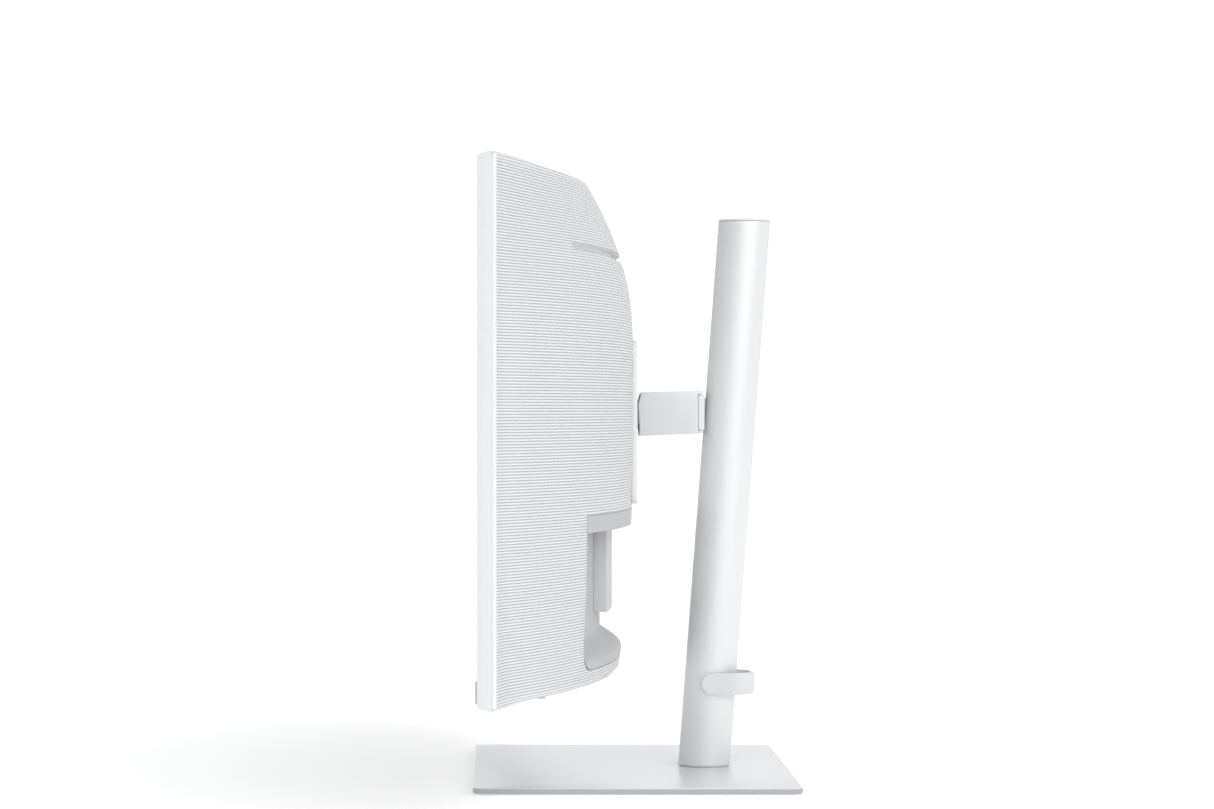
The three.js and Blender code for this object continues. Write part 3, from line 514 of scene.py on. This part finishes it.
def apply_modifier(piece, kind, **settings):
    make_active(piece)
    modifier = piece.modifiers.new(kind.title(), kind)
    for key, value in settings.items():
        setattr(modifier, key, value)
    bpy.ops.object.modifier_apply(modifier=modifier.name)


def cut_with(piece, *cutters):
    for cutter in cutters:
        apply_modifier(piece, "BOOLEAN", operation="DIFFERENCE", object=cutter, solver="EXACT")
        bpy.data.objects.remove(cutter, do_unlink=True)


def soften(piece, width, segments=3, angle=35):
    apply_modifier(piece, "BEVEL", width=width, segments=segments, limit_method="ANGLE",
                   angle_limit=math.radians(angle), harden_normals=False, use_clamp_overlap=True)


def smooth(piece, angle=32):
    make_active(piece)
    bpy.ops.object.shade_smooth_by_angle(angle=math.radians(angle))


def hand_over(piece, body, slot, material, *replaced):
    """Gives a finished piece its material and its body, and hides the CAD nodes that it stands for."""
    settle(piece)
    piece.data.materials.clear()
    piece.data.materials.append(material)
    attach(piece, body)
    if replaced:
        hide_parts(*replaced)
    return piece


def curved_block(name, half_width, low_z, high_z, front, back, cuts=63, taper=0.0):
    """A block that follows the screen's curve between two depths; taper narrows its front."""
    piece = box_piece(name, (-half_width, 0, low_z), (half_width, 1, high_z))
    slice_into(piece, 0, cuts)
    at = coordinates(piece)
    middle_z = (low_z + high_z) / 2
    is_front = at[:, 1] < 0.5
    shrink_x = 1 - taper / half_width * is_front
    shrink_z = 1 - taper / ((high_z - low_z) / 2) * is_front
    at[:, 0] *= shrink_x
    at[:, 2] = middle_z + (at[:, 2] - middle_z) * shrink_z
    at[:, 1] = screen_y(at[:, 0]) + np.where(is_front, front, back)
    move_vertices(piece, at)
    return piece


# ---- finishes -------------------------------------------------------------------------------
GROOVE_SHADE = 0.78
SCREEN_HALF_WIDTH = GLASS_HIGH.x - 0.0035
SCREEN_CENTRE_Z = (GLASS_HIGH.z + GLASS_LOW.z) / 2
SCREEN_HALF_HEIGHT = (GLASS_HIGH.z - GLASS_LOW.z) / 2 - 0.003

WHITE = moulded_plastic("white_moulded_plastic", 0.80)
# painted shade: the bay's white plastic in a darker copy, standing in for the shade inside the recess
BAY_SHADED_WHITE = moulded_plastic("cable_bay_painted_shade_plastic", 0.50)
# painted shade: the socket housing's white plastic in a darker copy, standing in for the shade in the bay
PORT_SHADED_WHITE = moulded_plastic("socket_housing_painted_shade_plastic", 0.60)
CHIN_WHITE = moulded_plastic("chin_plastic", 0.72)
VENT_WHITE = moulded_plastic("vent_channel_plastic", 0.82)
SHOE_WHITE = moulded_plastic("arm_shoe_plastic", 0.78, roughness=0.45)
RIBBED = ribbed_plastic()
POLE_PAINT = satin_metal("pole_pearl_paint", 0.81, 0.5, 0.45)
ARM_PAINT = satin_metal("arm_pearl_paint", 0.68, 0.42, 0.4)
CLIP_WHITE = moulded_plastic("cable_clip_plastic", 0.72)
BASE_PAINT = base_finish()
GREY = moulded_plastic("grey_moulded_plastic", 0.6)
BLACK = moulded_plastic("black_moulded_plastic", 0.02, 0.0005, 0.45)
NYLON = moulded_plastic("natural_nylon", 0.82, -0.01, 0.4)
SCREEN = screen_finish()
STEEL = bare_metal("zinc_plated_steel", (0.56, 0.57, 0.58), 0.35)
ALUMINIUM = bare_metal("cast_aluminium", (0.66, 0.67, 0.68), 0.5, streak=(1, 1, 1))
BRASS = bare_metal("plain_brass", (0.72, 0.56, 0.30), 0.35)
RUBBER = rubber_finish()
BOARD = board_finish()


# ---- head pieces ----------------------------------------------------------------------------
def build_frame_band():
    """The band: a tapered rim with a shelf inside it that holds the display from behind."""
    low, high = BAND_LOW.z, BAND_HIGH.z
    band = curved_block("frame_band_shell", HALF_WIDTH, low, high, 0, BAND_DEPTH, taper=BAND_TAPER)
    pocket = (HALF_WIDTH - BAND_WALL, low + BAND_WALL, high - BAND_WALL)
    opening = (HALF_WIDTH - SHELF_WIDTH, low + SHELF_WIDTH, high - SHELF_WIDTH)
    inner = curved_block("front_pocket", *pocket, -0.001, SHELF_FRONT, taper=BAND_TAPER - 0.001)
    rear = curved_block("rear_pocket", *pocket, SHELF_REAR, 0.012)
    window = curved_block("window", *opening, -0.002, 0.014)
    cut_with(band, inner, rear, window)
    soften(band, 0.0005, 3, 50)
    smooth(band, 30)
    return hand_over(band, "head", "white_plastic", WHITE, "frame_band")


def build_bottom_bezel():
    low, high = map(Vector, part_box("bottom_bezel"))
    bezel = curved_block("bottom_bezel_strip", high.x, low.z, high.z, -0.0020, 0.0001)
    soften(bezel, 0.0006, 4, 50)
    smooth(bezel, 30)
    return hand_over(bezel, "head", "white_plastic", CHIN_WHITE, "bottom_bezel")


def build_screen():
    glass = curved_block("display_glass", GLASS_HIGH.x, GLASS_LOW.z, GLASS_HIGH.z, 0.0005, 0.0016,
                         cuts=95)
    soften(glass, 0.0002, 2, 50)
    smooth(glass, 30)
    return hand_over(glass, "head", "screen_glass", SCREEN, "front_glass")


def cover_y(x, z):
    """The cover's skin at height z from the head's centre: the back surface, rolled in below the vent."""
    below = np.clip(z - (VENT_LOW_Z - VENT_LIP_RADIUS), 0, VENT_LIP_RADIUS)
    roll = VENT_LIP_RADIUS - np.sqrt(np.clip(VENT_LIP_RADIUS**2 - below**2, 0, None))
    fade_up = np.clip((VENT_HIGH_Z - 0.0008 - z) / (VENT_HIGH_Z - VENT_LOW_Z - 0.0016), 0, 1)
    fade_out = np.clip((VENT_HALF_WIDTH - np.abs(x)) / VENT_END_FADE, 0, 1)
    return back_y(x, z) - roll * fade_up * fade_out


def rib_rows():
    """Heights and rib depths of the skin's rows: four rows for each rib between two plain borders."""
    low = RIB_LOW_Z - HEAD_CENTRE_Z
    heights = [-COVER_HALF_HEIGHT, -COVER_HALF_HEIGHT + 0.0006]
    depths = [0.0, 0.0]
    for step in range(RIB_COUNT * 4 + 1):
        heights.append(low + RIB_PITCH * step / 4)
        depths.append((1.0, 0.32, 0.0, 0.32)[step % 4])
    heights += [COVER_HALF_HEIGHT - 0.0006, COVER_HALF_HEIGHT]
    depths += [0.0, 0.0]
    return np.array(heights), np.array(depths)


def bay_outline(grow, points=10):
    """The cable bay's outline in X and Z from the head's centre, counterclockwise from its top left."""
    top, low, bottom = BAY_TOP_HALF + grow, BAY_LOW_HALF + grow, BAY_BOTTOM_Z - grow
    start = (low, bottom + BAY_CORNER)
    knee = (low - 0.003, bottom)
    end = (low - BAY_CORNER - 0.006, bottom)
    right = [(top, BAY_TOP_Z + grow)]
    for n in range(points + 1):
        t = n / points
        along_x, along_z = ((1 - t)**2 * a + 2 * t * (1 - t) * b + t * t * c
                            for a, b, c in zip(start, knee, end))
        right.append((along_x, along_z))
    return right + [(-x, z) for x, z in reversed(right)]


def prism(name, outline, low_y, high_y):
    """An outline in X and Z filled and extruded along Y."""
    deselect()
    bpy.ops.mesh.primitive_circle_add(vertices=len(outline), radius=0.1, fill_type="NGON")
    piece = started(name)
    for vertex, (x, z) in zip(piece.data.vertices, outline):
        vertex.co = (x, low_y, z + HEAD_CENTRE_Z)
    pick_all(piece)
    bpy.ops.mesh.extrude_region_move(TRANSFORM_OT_translate={"value": (0, high_y - low_y, 0)})
    bpy.ops.mesh.select_all(action="SELECT")
    bpy.ops.mesh.normals_make_consistent(inside=False)
    leave_edit()
    return piece


def build_rear_cover():
    """The ribbed skin, with openings for the vent, the stand's plate and the cable bay."""
    heights, depths = rib_rows()
    half = COVER_HIGH.x
    beside_vent = np.array([VENT_HALF_WIDTH, VENT_HALF_WIDTH - VENT_END_FADE])
    plain_edge = np.array([half, RIB_END_X + 0.0004])
    near_end = np.array([0.376, 0.381, 0.389, 0.3945])
    columns = np.concatenate([np.linspace(RIB_END_X, -RIB_END_X, 53), beside_vent, -beside_vent,
                              near_end, -near_end, plain_edge, -plain_edge])
    columns = np.sort(columns)[::-1]

    def place(x, row):
        z = heights[row.astype(int)]
        return x, cover_y(x, z), z + HEAD_CENTRE_Z

    cover = sheet_piece("ribbed_rear_cover", columns, np.arange(len(heights)), place)
    outside = len(cover.data.vertices)
    apply_modifier(cover, "SOLIDIFY", thickness=COVER_WALL, offset=-1)
    at = coordinates(cover)
    skin = at[:outside]
    at[outside:] = skin - (0, COVER_WALL, 0)
    nearest = np.abs(skin[:, 2, None] - HEAD_CENTRE_Z - heights[None, :]).argmin(axis=1)
    ribbed = np.abs(skin[:, 0]) <= RIB_END_X + 1e-5
    skin[:, 1] -= depths[nearest] * RIB_DEPTH * ribbed
    move_vertices(cover, at)
    vent = box_piece("vent_cutter", (-VENT_HALF_WIDTH, -0.12, VENT_LOW_Z + HEAD_CENTRE_Z),
                     (VENT_HALF_WIDTH, 0.03, VENT_HIGH_Z + HEAD_CENTRE_Z))
    margin = Vector((0.001, 0.04, 0.001))
    plate = box_piece("plate_cutter", PLATE_LOW - margin, PLATE_HIGH + margin)
    bevel_edges(plate, along(1), 0.0066, 6)
    bay = prism("bay_cutter", bay_outline(FIT_GAP), -0.12, 0.03)
    cut_with(cover, vent, plate, bay)
    smooth(cover, 60)
    return hand_over(cover, "head", "ribbed_white", RIBBED, "rear_cover")


def build_cover_walls():
    """The cover's plain walls: from the ribbed skin forward into the band, on all four sides."""
    walls = []
    for side, name in ((1, "cover_top_wall"), (-1, "cover_bottom_wall")):
        edge = side * (COVER_HALF_HEIGHT - 0.0001)
        columns = np.linspace(-side, side, 65) * (COVER_HIGH.x - 0.0002)

        def level_place(x, t, edge=edge):
            front = screen_y(x) + COVER_FRONT_DEPTH
            back = cover_y(x, np.full_like(x, edge)) - 0.0004
            return x, front + (back - front) * t, edge + HEAD_CENTRE_Z

        walls.append(sheet_piece(name, columns, np.linspace(0, 1, 5), level_place))
    for side, name in ((1, "cover_right_wall"), (-1, "cover_left_wall")):
        edge = side * (COVER_HIGH.x - 0.0001)
        rows = np.linspace(side, -side, 65) * (COVER_HALF_HEIGHT - 0.0002)

        def upright_place(z, t, edge=edge):
            front = screen_y(edge) + COVER_FRONT_DEPTH
            back = cover_y(np.full_like(z, edge), z) - 0.0001
            return edge, front + (back - front) * t, z + HEAD_CENTRE_Z

        walls.append(sheet_piece(name, rows, np.linspace(0, 1, 5), upright_place))
    for wall in walls:
        apply_modifier(wall, "SOLIDIFY", thickness=0.002, offset=-1)
        smooth(wall, 30)
    jog_y = (JOG_LOW.y + JOG_HIGH.y) / 2
    hole = rod_piece("jog_cutter", 0.0076, (0, jog_y, BAND_LOW.z - 0.01),
                     (0, jog_y, BAND_LOW.z + 0.01))
    cut_with(walls[1], hole)
    for wall in walls:
        hand_over(wall, "head", "ribbed_white", WHITE)


def build_vent_channel():
    """The vent's channel: a floor with a row of shallow slots, two returns and closed ends."""
    low, high = VENT_LOW.z - HEAD_CENTRE_Z, VENT_HIGH.z - HEAD_CENTRE_Z
    middle = (low + high) / 2
    is_floor = np.array([False, True, True, False])
    level = np.array([low, low, high, high])

    def place(x, n):
        n = n.astype(int)
        rim = back_y(x, np.full_like(x, middle)) - VENT_RIM_DEPTH
        sunk = is_floor[n] & (np.abs(x) <= VENT_HALF_WIDTH - VENT_END_WALL)
        return x, rim - sunk * (VENT_DEPTH - VENT_RIM_DEPTH), level[n] + HEAD_CENTRE_Z

    half = VENT_HALF_WIDTH - FIT_GAP
    inner = half - VENT_END_WALL
    columns = np.concatenate([[half], np.linspace(inner, -inner, 66), [-half]])
    channel = sheet_piece("vent_channel", columns, np.arange(4), place)
    pick_faces(channel, lambda centre, normal: abs(normal.y) > 0.8 and abs(centre.x) < half - 0.001)
    bpy.ops.mesh.inset(thickness=0.0011, depth=-0.0007, use_individual=True)
    leave_edit()
    apply_modifier(channel, "SOLIDIFY", thickness=0.0008, offset=-1)
    smooth(channel, 30)
    return hand_over(channel, "head", "grey_plastic", VENT_WHITE, "vent_grille")


def bay_half_width(z):
    """Half the bay's width at height z: slanted sides, then rounded lower corners."""
    along_side = (BAY_TOP_Z - z) / (BAY_TOP_Z - BAY_BOTTOM_Z - BAY_CORNER)
    side = BAY_TOP_HALF - (BAY_TOP_HALF - BAY_LOW_HALF) * np.clip(along_side, 0, 1)
    into_corner = np.clip((BAY_BOTTOM_Z + BAY_CORNER - z) / BAY_CORNER, 0, 1)
    return side - BAY_CORNER_INSET * (1 - np.sqrt(np.clip(1 - into_corner**2, 0, 1)))


def build_port_bay():
    """The bay: a plain band above, a pocket with steep walls, and a floor that scoops out to the lip."""
    edge_steps = [0, 0.0002, 0.0005, 0.0009, 0.0013, 0.0017, 0.0021, 0.0026, 0.0034, 0.006]
    edge = np.array(edge_steps) / BAY_TOP_HALF
    middle = np.linspace(-1 + 0.012 / BAY_TOP_HALF, 1 - 0.012 / BAY_TOP_HALF, 71)
    columns = np.concatenate([-1 + edge, middle, (1 - edge)[::-1]])[::-1]
    top_wall = BAY_POCKET_TOP_Z - np.array([0, 0.0003, 0.0007, 0.0011, 0.0015, 0.0019, 0.0024])
    rows = np.concatenate([[BAY_BOTTOM_Z + 0.0001], np.linspace(BAY_BOTTOM_Z + 0.001, BAY_FLOOR_END_Z, 33),
                           np.linspace(BAY_FLOOR_END_Z, top_wall[-1], 14)[1:-1], top_wall[::-1],
                           np.linspace(BAY_POCKET_TOP_Z, BAY_TOP_Z, 6)[1:]])

    def place(u, z):
        half = bay_half_width(z)
        x = u * half
        inside = (1 - np.abs(u)) * half
        side = smoothstep(inside / BAY_SIDE_RUN)
        ceiling = smoothstep((BAY_POCKET_TOP_Z - z) / BAY_CEILING_RUN)
        scoop = 1 - smoothstep((BAY_FLOOR_END_Z - z) / (BAY_FLOOR_END_Z - BAY_LIP_Z))
        surface = back_y(x, z)
        floor = bulge_y(x) - BAY_DEPTH
        return x, surface + (floor - surface) * side * ceiling * scoop, z + HEAD_CENTRE_Z

    bay = sheet_piece("cable_bay", columns, rows, place)
    apply_modifier(bay, "SOLIDIFY", thickness=0.0009, offset=-1)
    smooth(bay, 50)
    return hand_over(bay, "head", "white_plastic", BAY_SHADED_WHITE, "port_bay")


def build_port_housing():
    low, high = map(Vector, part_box("port_housing"))
    housing = box_piece("socket_housing", (low.x, 0, low.z), (high.x, 1, high.z))
    slice_into(housing, 0, 31)
    at = coordinates(housing)
    depth = np.where(at[:, 1] < 0.5, BAY_DEPTH - 0.0001, HOUSING_REAR_DEPTH)
    at[:, 1] = bulge_y(at[:, 0]) - depth
    move_vertices(housing, at)
    for node in SOCKET_NODES:
        a, b = map(Vector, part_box(node))
        margin = Vector((FIT_GAP, FIT_GAP, 0))
        cutter = box_piece("socket_cutter", a - margin - Vector((0, 0, 0.002)), b + margin)
        cut_with(housing, cutter)
    soften(housing, 0.0014, 4, 50)
    smooth(housing, 30)
    return hand_over(housing, "head", "white_plastic", PORT_SHADED_WHITE, "port_housing")


def build_mount_plate():
    plate = box_piece("stand_plate", PLATE_LOW, PLATE_HIGH)
    bevel_edges(plate, along(1), 0.006, 8)
    low, high = map(Vector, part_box("release_button"))
    margin = Vector((FIT_GAP, 0.02, FIT_GAP))
    cut_with(plate, box_piece("button_cutter", low - margin, high + margin))
    soften(plate, 0.0005, 3, 50)
    smooth(plate, 30)
    hand_over(plate, "head", "white_plastic", WHITE, "mount_plate")
    button = box_piece("release_key", low, high)
    bevel_edges(button, along(1), 0.0012, 5)
    soften(button, 0.0005, 4, 50)
    smooth(button, 30)
    hand_over(button, "release_button", "white_plastic", WHITE, "release_button")


def build_jog_cap():
    centre = (JOG_LOW + JOG_HIGH) / 2
    cap = rod_piece("joystick_cap", 0.0055, (0, centre.y, JOG_LOW.z), (0, centre.y, JOG_HIGH.z), 48)
    pick_faces(cap, lambda c, n: n.z < -0.9)
    bpy.ops.mesh.inset(thickness=0.0016)
    bpy.ops.transform.translate(value=(0, 0, 0.0006))
    leave_edit()
    well = rod_piece("stem_well", 0.0019, (0, centre.y, JOG_LOW.z + 0.0013),
                     (0, centre.y, JOG_HIGH.z + 0.01), 32)
    cut_with(cap, well)
    soften(cap, 0.0005, 3, 40)
    smooth(cap, 30)
    return hand_over(cap, "jog_cap", "grey_plastic", GREY, "jog_cap")


def build_cover_screws():
    for number in (1, 2, 3, 4):
        node = f"cover_screw_{number}"
        low, high = map(Vector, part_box(node))
        centre = (low + high) / 2
        head_top = low.z + 0.0016
        screw = rod_piece(f"cross_screw_{number}", 0.003, (centre.x, centre.y, low.z),
                          (centre.x, centre.y, head_top), 40)
        pick_faces(screw, lambda c, n: n.z > 0.9)
        bpy.ops.mesh.inset(thickness=0.0015)
        bpy.ops.mesh.extrude_region_move(TRANSFORM_OT_translate={"value": (0, 0, high.z - head_top)})
        leave_edit()
        for wide, deep in ((0.0018, 0.0005), (0.0005, 0.0018)):
            cut_with(screw, box_piece("cross", (centre.x - wide, centre.y - deep, low.z - 0.001),
                                      (centre.x + wide, centre.y + deep, low.z + 0.0009)))
        soften(screw, 0.0002, 2, 40)
        smooth(screw, 30)
        hand_over(screw, "head", "steel", STEEL, node)


# ---- stand pieces ---------------------------------------------------------------------------
def on_pole(up):
    """The point on the pole's axis at that distance from its foot."""
    return POLE_FOOT + POLE_AXIS * up


def level_cut(piece, height, keep_below, close=False):
    """Trims a piece at a level plane, keeping one side of it."""
    pick_all(piece)
    bpy.ops.mesh.bisect(plane_co=(0, 0, height), plane_no=(0, 0, 1), clear_outer=keep_below,
                        clear_inner=not keep_below, use_fill=close)
    leave_edit()


def build_pole_tube():
    tube = rod_piece("round_pole", POLE_RADIUS, on_pole(-0.02), on_pole(0.45), 96, "NOTHING")
    level_cut(tube, POLE_LOW.z, keep_below=False)
    level_cut(tube, POLE_HIGH.z, keep_below=True)
    apply_modifier(tube, "SOLIDIFY", thickness=POLE_WALL, offset=-1)
    cutter = box_piece("slot_cutter", (-SLOT_HALF_WIDTH, -0.03, SLOT_LOW), (SLOT_HALF_WIDTH, 0, SLOT_HIGH))
    bevel_edges(cutter, along(1), SLOT_HALF_WIDTH * 0.98, 8)
    cutter.matrix_world = Matrix.Translation(POLE_FOOT) @ Matrix.Rotation(-LEAN, 4, "X")
    settle(cutter)
    cut_with(tube, cutter)
    soften(tube, 0.0004, 3, 50)
    smooth(tube, 30)
    return hand_over(tube, "pole", "white_metal", POLE_PAINT, "pole_tube")


def build_pole_cap():
    low, high = map(Vector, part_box("pole_cap"))
    cap = rod_piece("pole_end_cap", POLE_RADIUS - 0.0001, on_pole(0.38), on_pole(0.46), 96)
    level_cut(cap, high.z, keep_below=True, close=True)
    level_cut(cap, high.z - POLE_CAP_THICKNESS, keep_below=False, close=True)
    soften(cap, 0.0005, 4, 40)
    smooth(cap, 30)
    return hand_over(cap, "pole", "white_plastic", WHITE, "pole_cap")


def build_cable_clip():
    """A band that runs along one side of the pole, round behind it and back along the other."""
    tall = CLIP_HIGH.z - CLIP_LOW.z
    middle_z = (CLIP_HIGH.z + CLIP_LOW.z) / 2
    half = CLIP_HIGH.x
    front, rear, turn = CLIP_LOW.y, CLIP_HIGH.y, CLIP_TURN_Y
    straight = turn - front
    bend = 1.18 * (half + rear - turn) * math.pi / 4
    total = 2 * (straight + bend)

    def place(s, v):
        side = np.where(s < total / 2, 1, -1)
        run = np.where(s < total / 2, s, total - s)
        angle = np.clip((run - straight) / bend, 0, 1) * math.pi / 2
        x = side * half * np.cos(angle)
        y = np.where(run < straight, front + run, turn + (rear - turn) * np.sin(angle))
        radius = tall / 2
        reach = np.clip(run / radius, 0, 1)
        half_tall = radius * np.sqrt(np.clip(1 - (1 - reach)**2, 0.0004, 1))
        behind = np.clip((y - rear + CLIP_REAR_ROUNDING) / CLIP_REAR_ROUNDING, 0, 1)
        half_tall = half_tall - CLIP_REAR_ROUNDING * (1 - np.sqrt(1 - behind**2)) * 0.8
        return x, y, middle_z + v * half_tall

    rounding = np.linspace(0, math.pi / 2, 12)
    ends = tall / 2 * (1 - np.cos(rounding))
    stations = np.concatenate([ends, np.linspace(ends[-1], total - ends[-1], 90)[1:-1], total - ends[::-1]])
    clip = sheet_piece("cable_clip_band", stations, np.linspace(-1, 1, 9), place)
    pick_all(clip)
    bpy.ops.mesh.normals_make_consistent(inside=False)
    leave_edit()
    apply_modifier(clip, "SOLIDIFY", thickness=CLIP_WALL, offset=-1)
    soften(clip, 0.0005, 3, 50)
    smooth(clip, 35)
    return hand_over(clip, "pole", "white_plastic", CLIP_WHITE, "cable_clip")


def slice_lengthwise(piece, cuts):
    """Divides the arm's long edges, which lie nearly along Y."""
    pick_edges(piece, lambda a, b: abs(a.y - b.y) > 0.02)
    bpy.ops.mesh.subdivide(number_cuts=cuts)
    leave_edit()


def build_arm():
    """The arm's shell, its nose cut back for the tilt, with top and bottom lips round the end shoe."""
    low, high = map(Vector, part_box("arm_housing"))
    end_y = high.y + ARM_LIP
    arm = box_piece("arm_cover", low, (high.x, end_y, high.z))
    nose_z = low.z + ARM_NOSE_HEIGHT
    pick_all(arm)
    bpy.ops.mesh.bisect(plane_co=(0, 0, nose_z), plane_no=(0, 0, 1))
    leave_edit()
    at = coordinates(arm)
    front = at[:, 1] < (low.y + high.y) / 2
    top = at[:, 2] > nose_z + 0.001
    bottom = at[:, 2] < nose_z - 0.001
    at[front & top, 1:] = (low.y + 0.0025, high.z - 0.0008)
    at[front & bottom, 1:] = (low.y + 0.0012, low.z)
    at[~front & bottom, 2] = low.z + 0.002
    move_vertices(arm, at)
    runs_across = along(0)
    bevel_edges(arm, lambda a, b: runs_across(a, b) and a.y < 0.01 and a.z > low.z + 0.01, 0.0012, 3)
    slice_lengthwise(arm, 15)
    at = coordinates(arm)
    along_arm = (at[:, 1] - (low.y + end_y) / 2) / ((end_y - low.y) / 2)
    at[:, 0] *= 1 - ARM_NARROWING * along_arm**2
    move_vertices(arm, at)
    side = high.x * (1 - ARM_NARROWING) - ARM_WALL
    shoe_floor, shoe_roof = low.z + 0.0038, high.z - 0.0024
    inner = box_piece("arm_hollow", (-side, low.y - 0.01, ARM_HOLLOW_LOW_Z),
                      (side, high.y - ARM_WALL, ARM_HOLLOW_HIGH_Z))
    recess = box_piece("shoe_recess", (-0.04, high.y, shoe_floor), (0.04, end_y + 0.01, shoe_roof))
    neck_cut = box_piece("neck_cutter", (-NECK_SLOT_HALF, high.y - 0.01, NECK_SLOT_LOW_Z),
                         (NECK_SLOT_HALF, high.y + 0.01, NECK_SLOT_HIGH_Z))
    cut_with(arm, inner, recess, neck_cut)
    soften(arm, 0.0006, 3, 45)
    smooth(arm, 30)
    hand_over(arm, "lift", "white_metal", ARM_PAINT, "arm_housing")
    shoe = box_piece("arm_end_shoe", (-SHOE_HALF_WIDTH, high.y + FIT_GAP, shoe_floor + FIT_GAP),
                     (SHOE_HALF_WIDTH, SHOE_END_Y, shoe_roof - FIT_GAP))
    bevel_edges(shoe, along(1), 0.0022, 5)
    pole_clear = rod_piece("pole_clearance", POLE_RADIUS + 0.0006, on_pole(0.2), on_pole(0.33), 96)
    neck = box_piece("neck_cutter", (-NECK_SLOT_HALF, high.y - 0.01, NECK_SLOT_LOW_Z),
                     (NECK_SLOT_HALF, high.y + 0.02, NECK_SLOT_HIGH_Z))
    cut_with(shoe, pole_clear, neck)
    soften(shoe, 0.0005, 3, 45)
    smooth(shoe, 30)
    hand_over(shoe, "lift", "white_plastic", SHOE_WHITE, "arm_shoe")


def build_base():
    base = box_piece("base_slab", BASE_LOW, BASE_HIGH)
    bevel_edges(base, along(2), BASE_CORNER, 10)
    under = rod_piece("bearing_recess", BEARING_RECESS_RADIUS, (0, POLE_FOOT.y, -0.01),
                      (0, POLE_FOOT.y, BEARING_RECESS_TOP_Z), 72)
    neck = rod_piece("neck_hole", NECK_HOLE_RADIUS, (0, POLE_FOOT.y, -0.01), (0, POLE_FOOT.y, 0.02), 64)
    cut_with(base, under, neck)
    soften(base, 0.0008, 3, 50)
    smooth(base, 30)
    return hand_over(base, "base", "white_metal", BASE_PAINT, "base_plate")


build_frame_band()
build_bottom_bezel()
build_screen()
build_rear_cover()
build_cover_walls()
build_vent_channel()
build_port_bay()
build_port_housing()
build_mount_plate()
build_jog_cap()
build_cover_screws()
build_pole_tube()
build_pole_cap()
build_cable_clip()
build_arm()
build_base()

# ---- finishes of the pieces that keep their CAD shape ---------------------------------------
SLOT_FINISH = {
    "black_plastic": BLACK,
    "nylon": NYLON,
    "steel": STEEL,
    "aluminium": ALUMINIUM,
    "brass": BRASS,
    "rubber": RUBBER,
    "board": BOARD,
    "grey_plastic": GREY,
}
slot_of = {part["node"]: part["material_slot"] for part in frame["record"]["subparts"]}
for node_name, node in nodes.items():
    material = SLOT_FINISH.get(slot_of.get(node_name))
    if material:
        for number in range(max(1, len(node.material_slots))):
            if number < len(node.material_slots):
                node.material_slots[number].material = material
            else:
                node.data.materials.append(material)


# ---- floor, light and camera ----------------------------------------------------------------
CAMERA_PLACE = (2.732, -0.0995, 0.2783)
SENSOR_WIDTH = 36
FOCAL_IN_SENSOR_WIDTHS = 2.936
ROOM_LIGHT = 0.6
KEY_DIRECTION = Vector((0.74, 0.40, 0.54)).normalized()
KEY_LIGHT = 2.0
KEY_SHARPNESS = 8
RIM_DIRECTION = Vector((-0.37, 0.93, 0.1)).normalized()
RIM_LIGHT = 0.6
RIM_SHARPNESS = 18
BACKDROP_DIRECTION = Vector((-1, 0, 0))
BACKDROP_LIGHT = 0.55
BACKDROP_SHARPNESS = 6


def build_studio():
    """A white room: even light, a soft key high on the right, a rim from behind, a bright backdrop."""
    world = bpy.data.worlds.new("white_studio")
    bpy.context.scene.world = world
    world.use_nodes = True
    room = NodeTree(world.node_tree)
    direction = room.node("ShaderNodeTexCoord", {}, [], "Generated")

    def glow(towards, strength, sharpness):
        facing = room.node("ShaderNodeVectorMath", {"operation": "DOT_PRODUCT"},
                           [direction, tuple(towards)], 1)
        return facing.math("MAXIMUM", 0.0) ** sharpness * strength

    key = glow(KEY_DIRECTION, KEY_LIGHT, KEY_SHARPNESS)
    backdrop = glow(BACKDROP_DIRECTION, BACKDROP_LIGHT, BACKDROP_SHARPNESS)
    rim = glow(RIM_DIRECTION, RIM_LIGHT, RIM_SHARPNESS)
    light = key + rim + backdrop + ROOM_LIGHT
    room.tree.links.new(light.socket, room.tree.nodes["Background"].inputs["Strength"])
    room.tree.nodes["Background"].inputs["Color"].default_value = (0.99, 0.993, 1, 1)


def build_floor():
    deselect()
    bpy.ops.mesh.primitive_plane_add(size=12, location=(0, 0, 0))
    floor = started("studio_floor")
    pale = Finish("pale_floor", {"Specular IOR Level": 0.1, "Roughness": 0.9, "Emission Strength": 0.34})
    pale.shader.inputs["Emission Color"].default_value = (1, 1, 1, 1)
    pale.feed("Base Color", pale.mix(pale.noise(2, 2), grey(0.96), grey(0.965)))
    floor.data.materials.append(pale.material)


def build_camera():
    """Level camera on the object's right, looking along -X across the head's end."""
    deselect()
    bpy.ops.object.camera_add(location=CAMERA_PLACE, rotation=(math.pi / 2, 0, math.pi / 2))
    camera = bpy.context.object
    camera.name = "studio_camera"
    camera.data.sensor_width = SENSOR_WIDTH
    camera.data.lens = SENSOR_WIDTH * FOCAL_IN_SENSOR_WIDTHS
    camera.data.shift_x = 0.0881
    camera.data.shift_y = 0.0033
    camera.data.clip_end = 50
    bpy.context.scene.camera = camera


build_studio()
build_floor()
build_camera()
bpy.context.scene.view_settings.view_transform = "Standard"
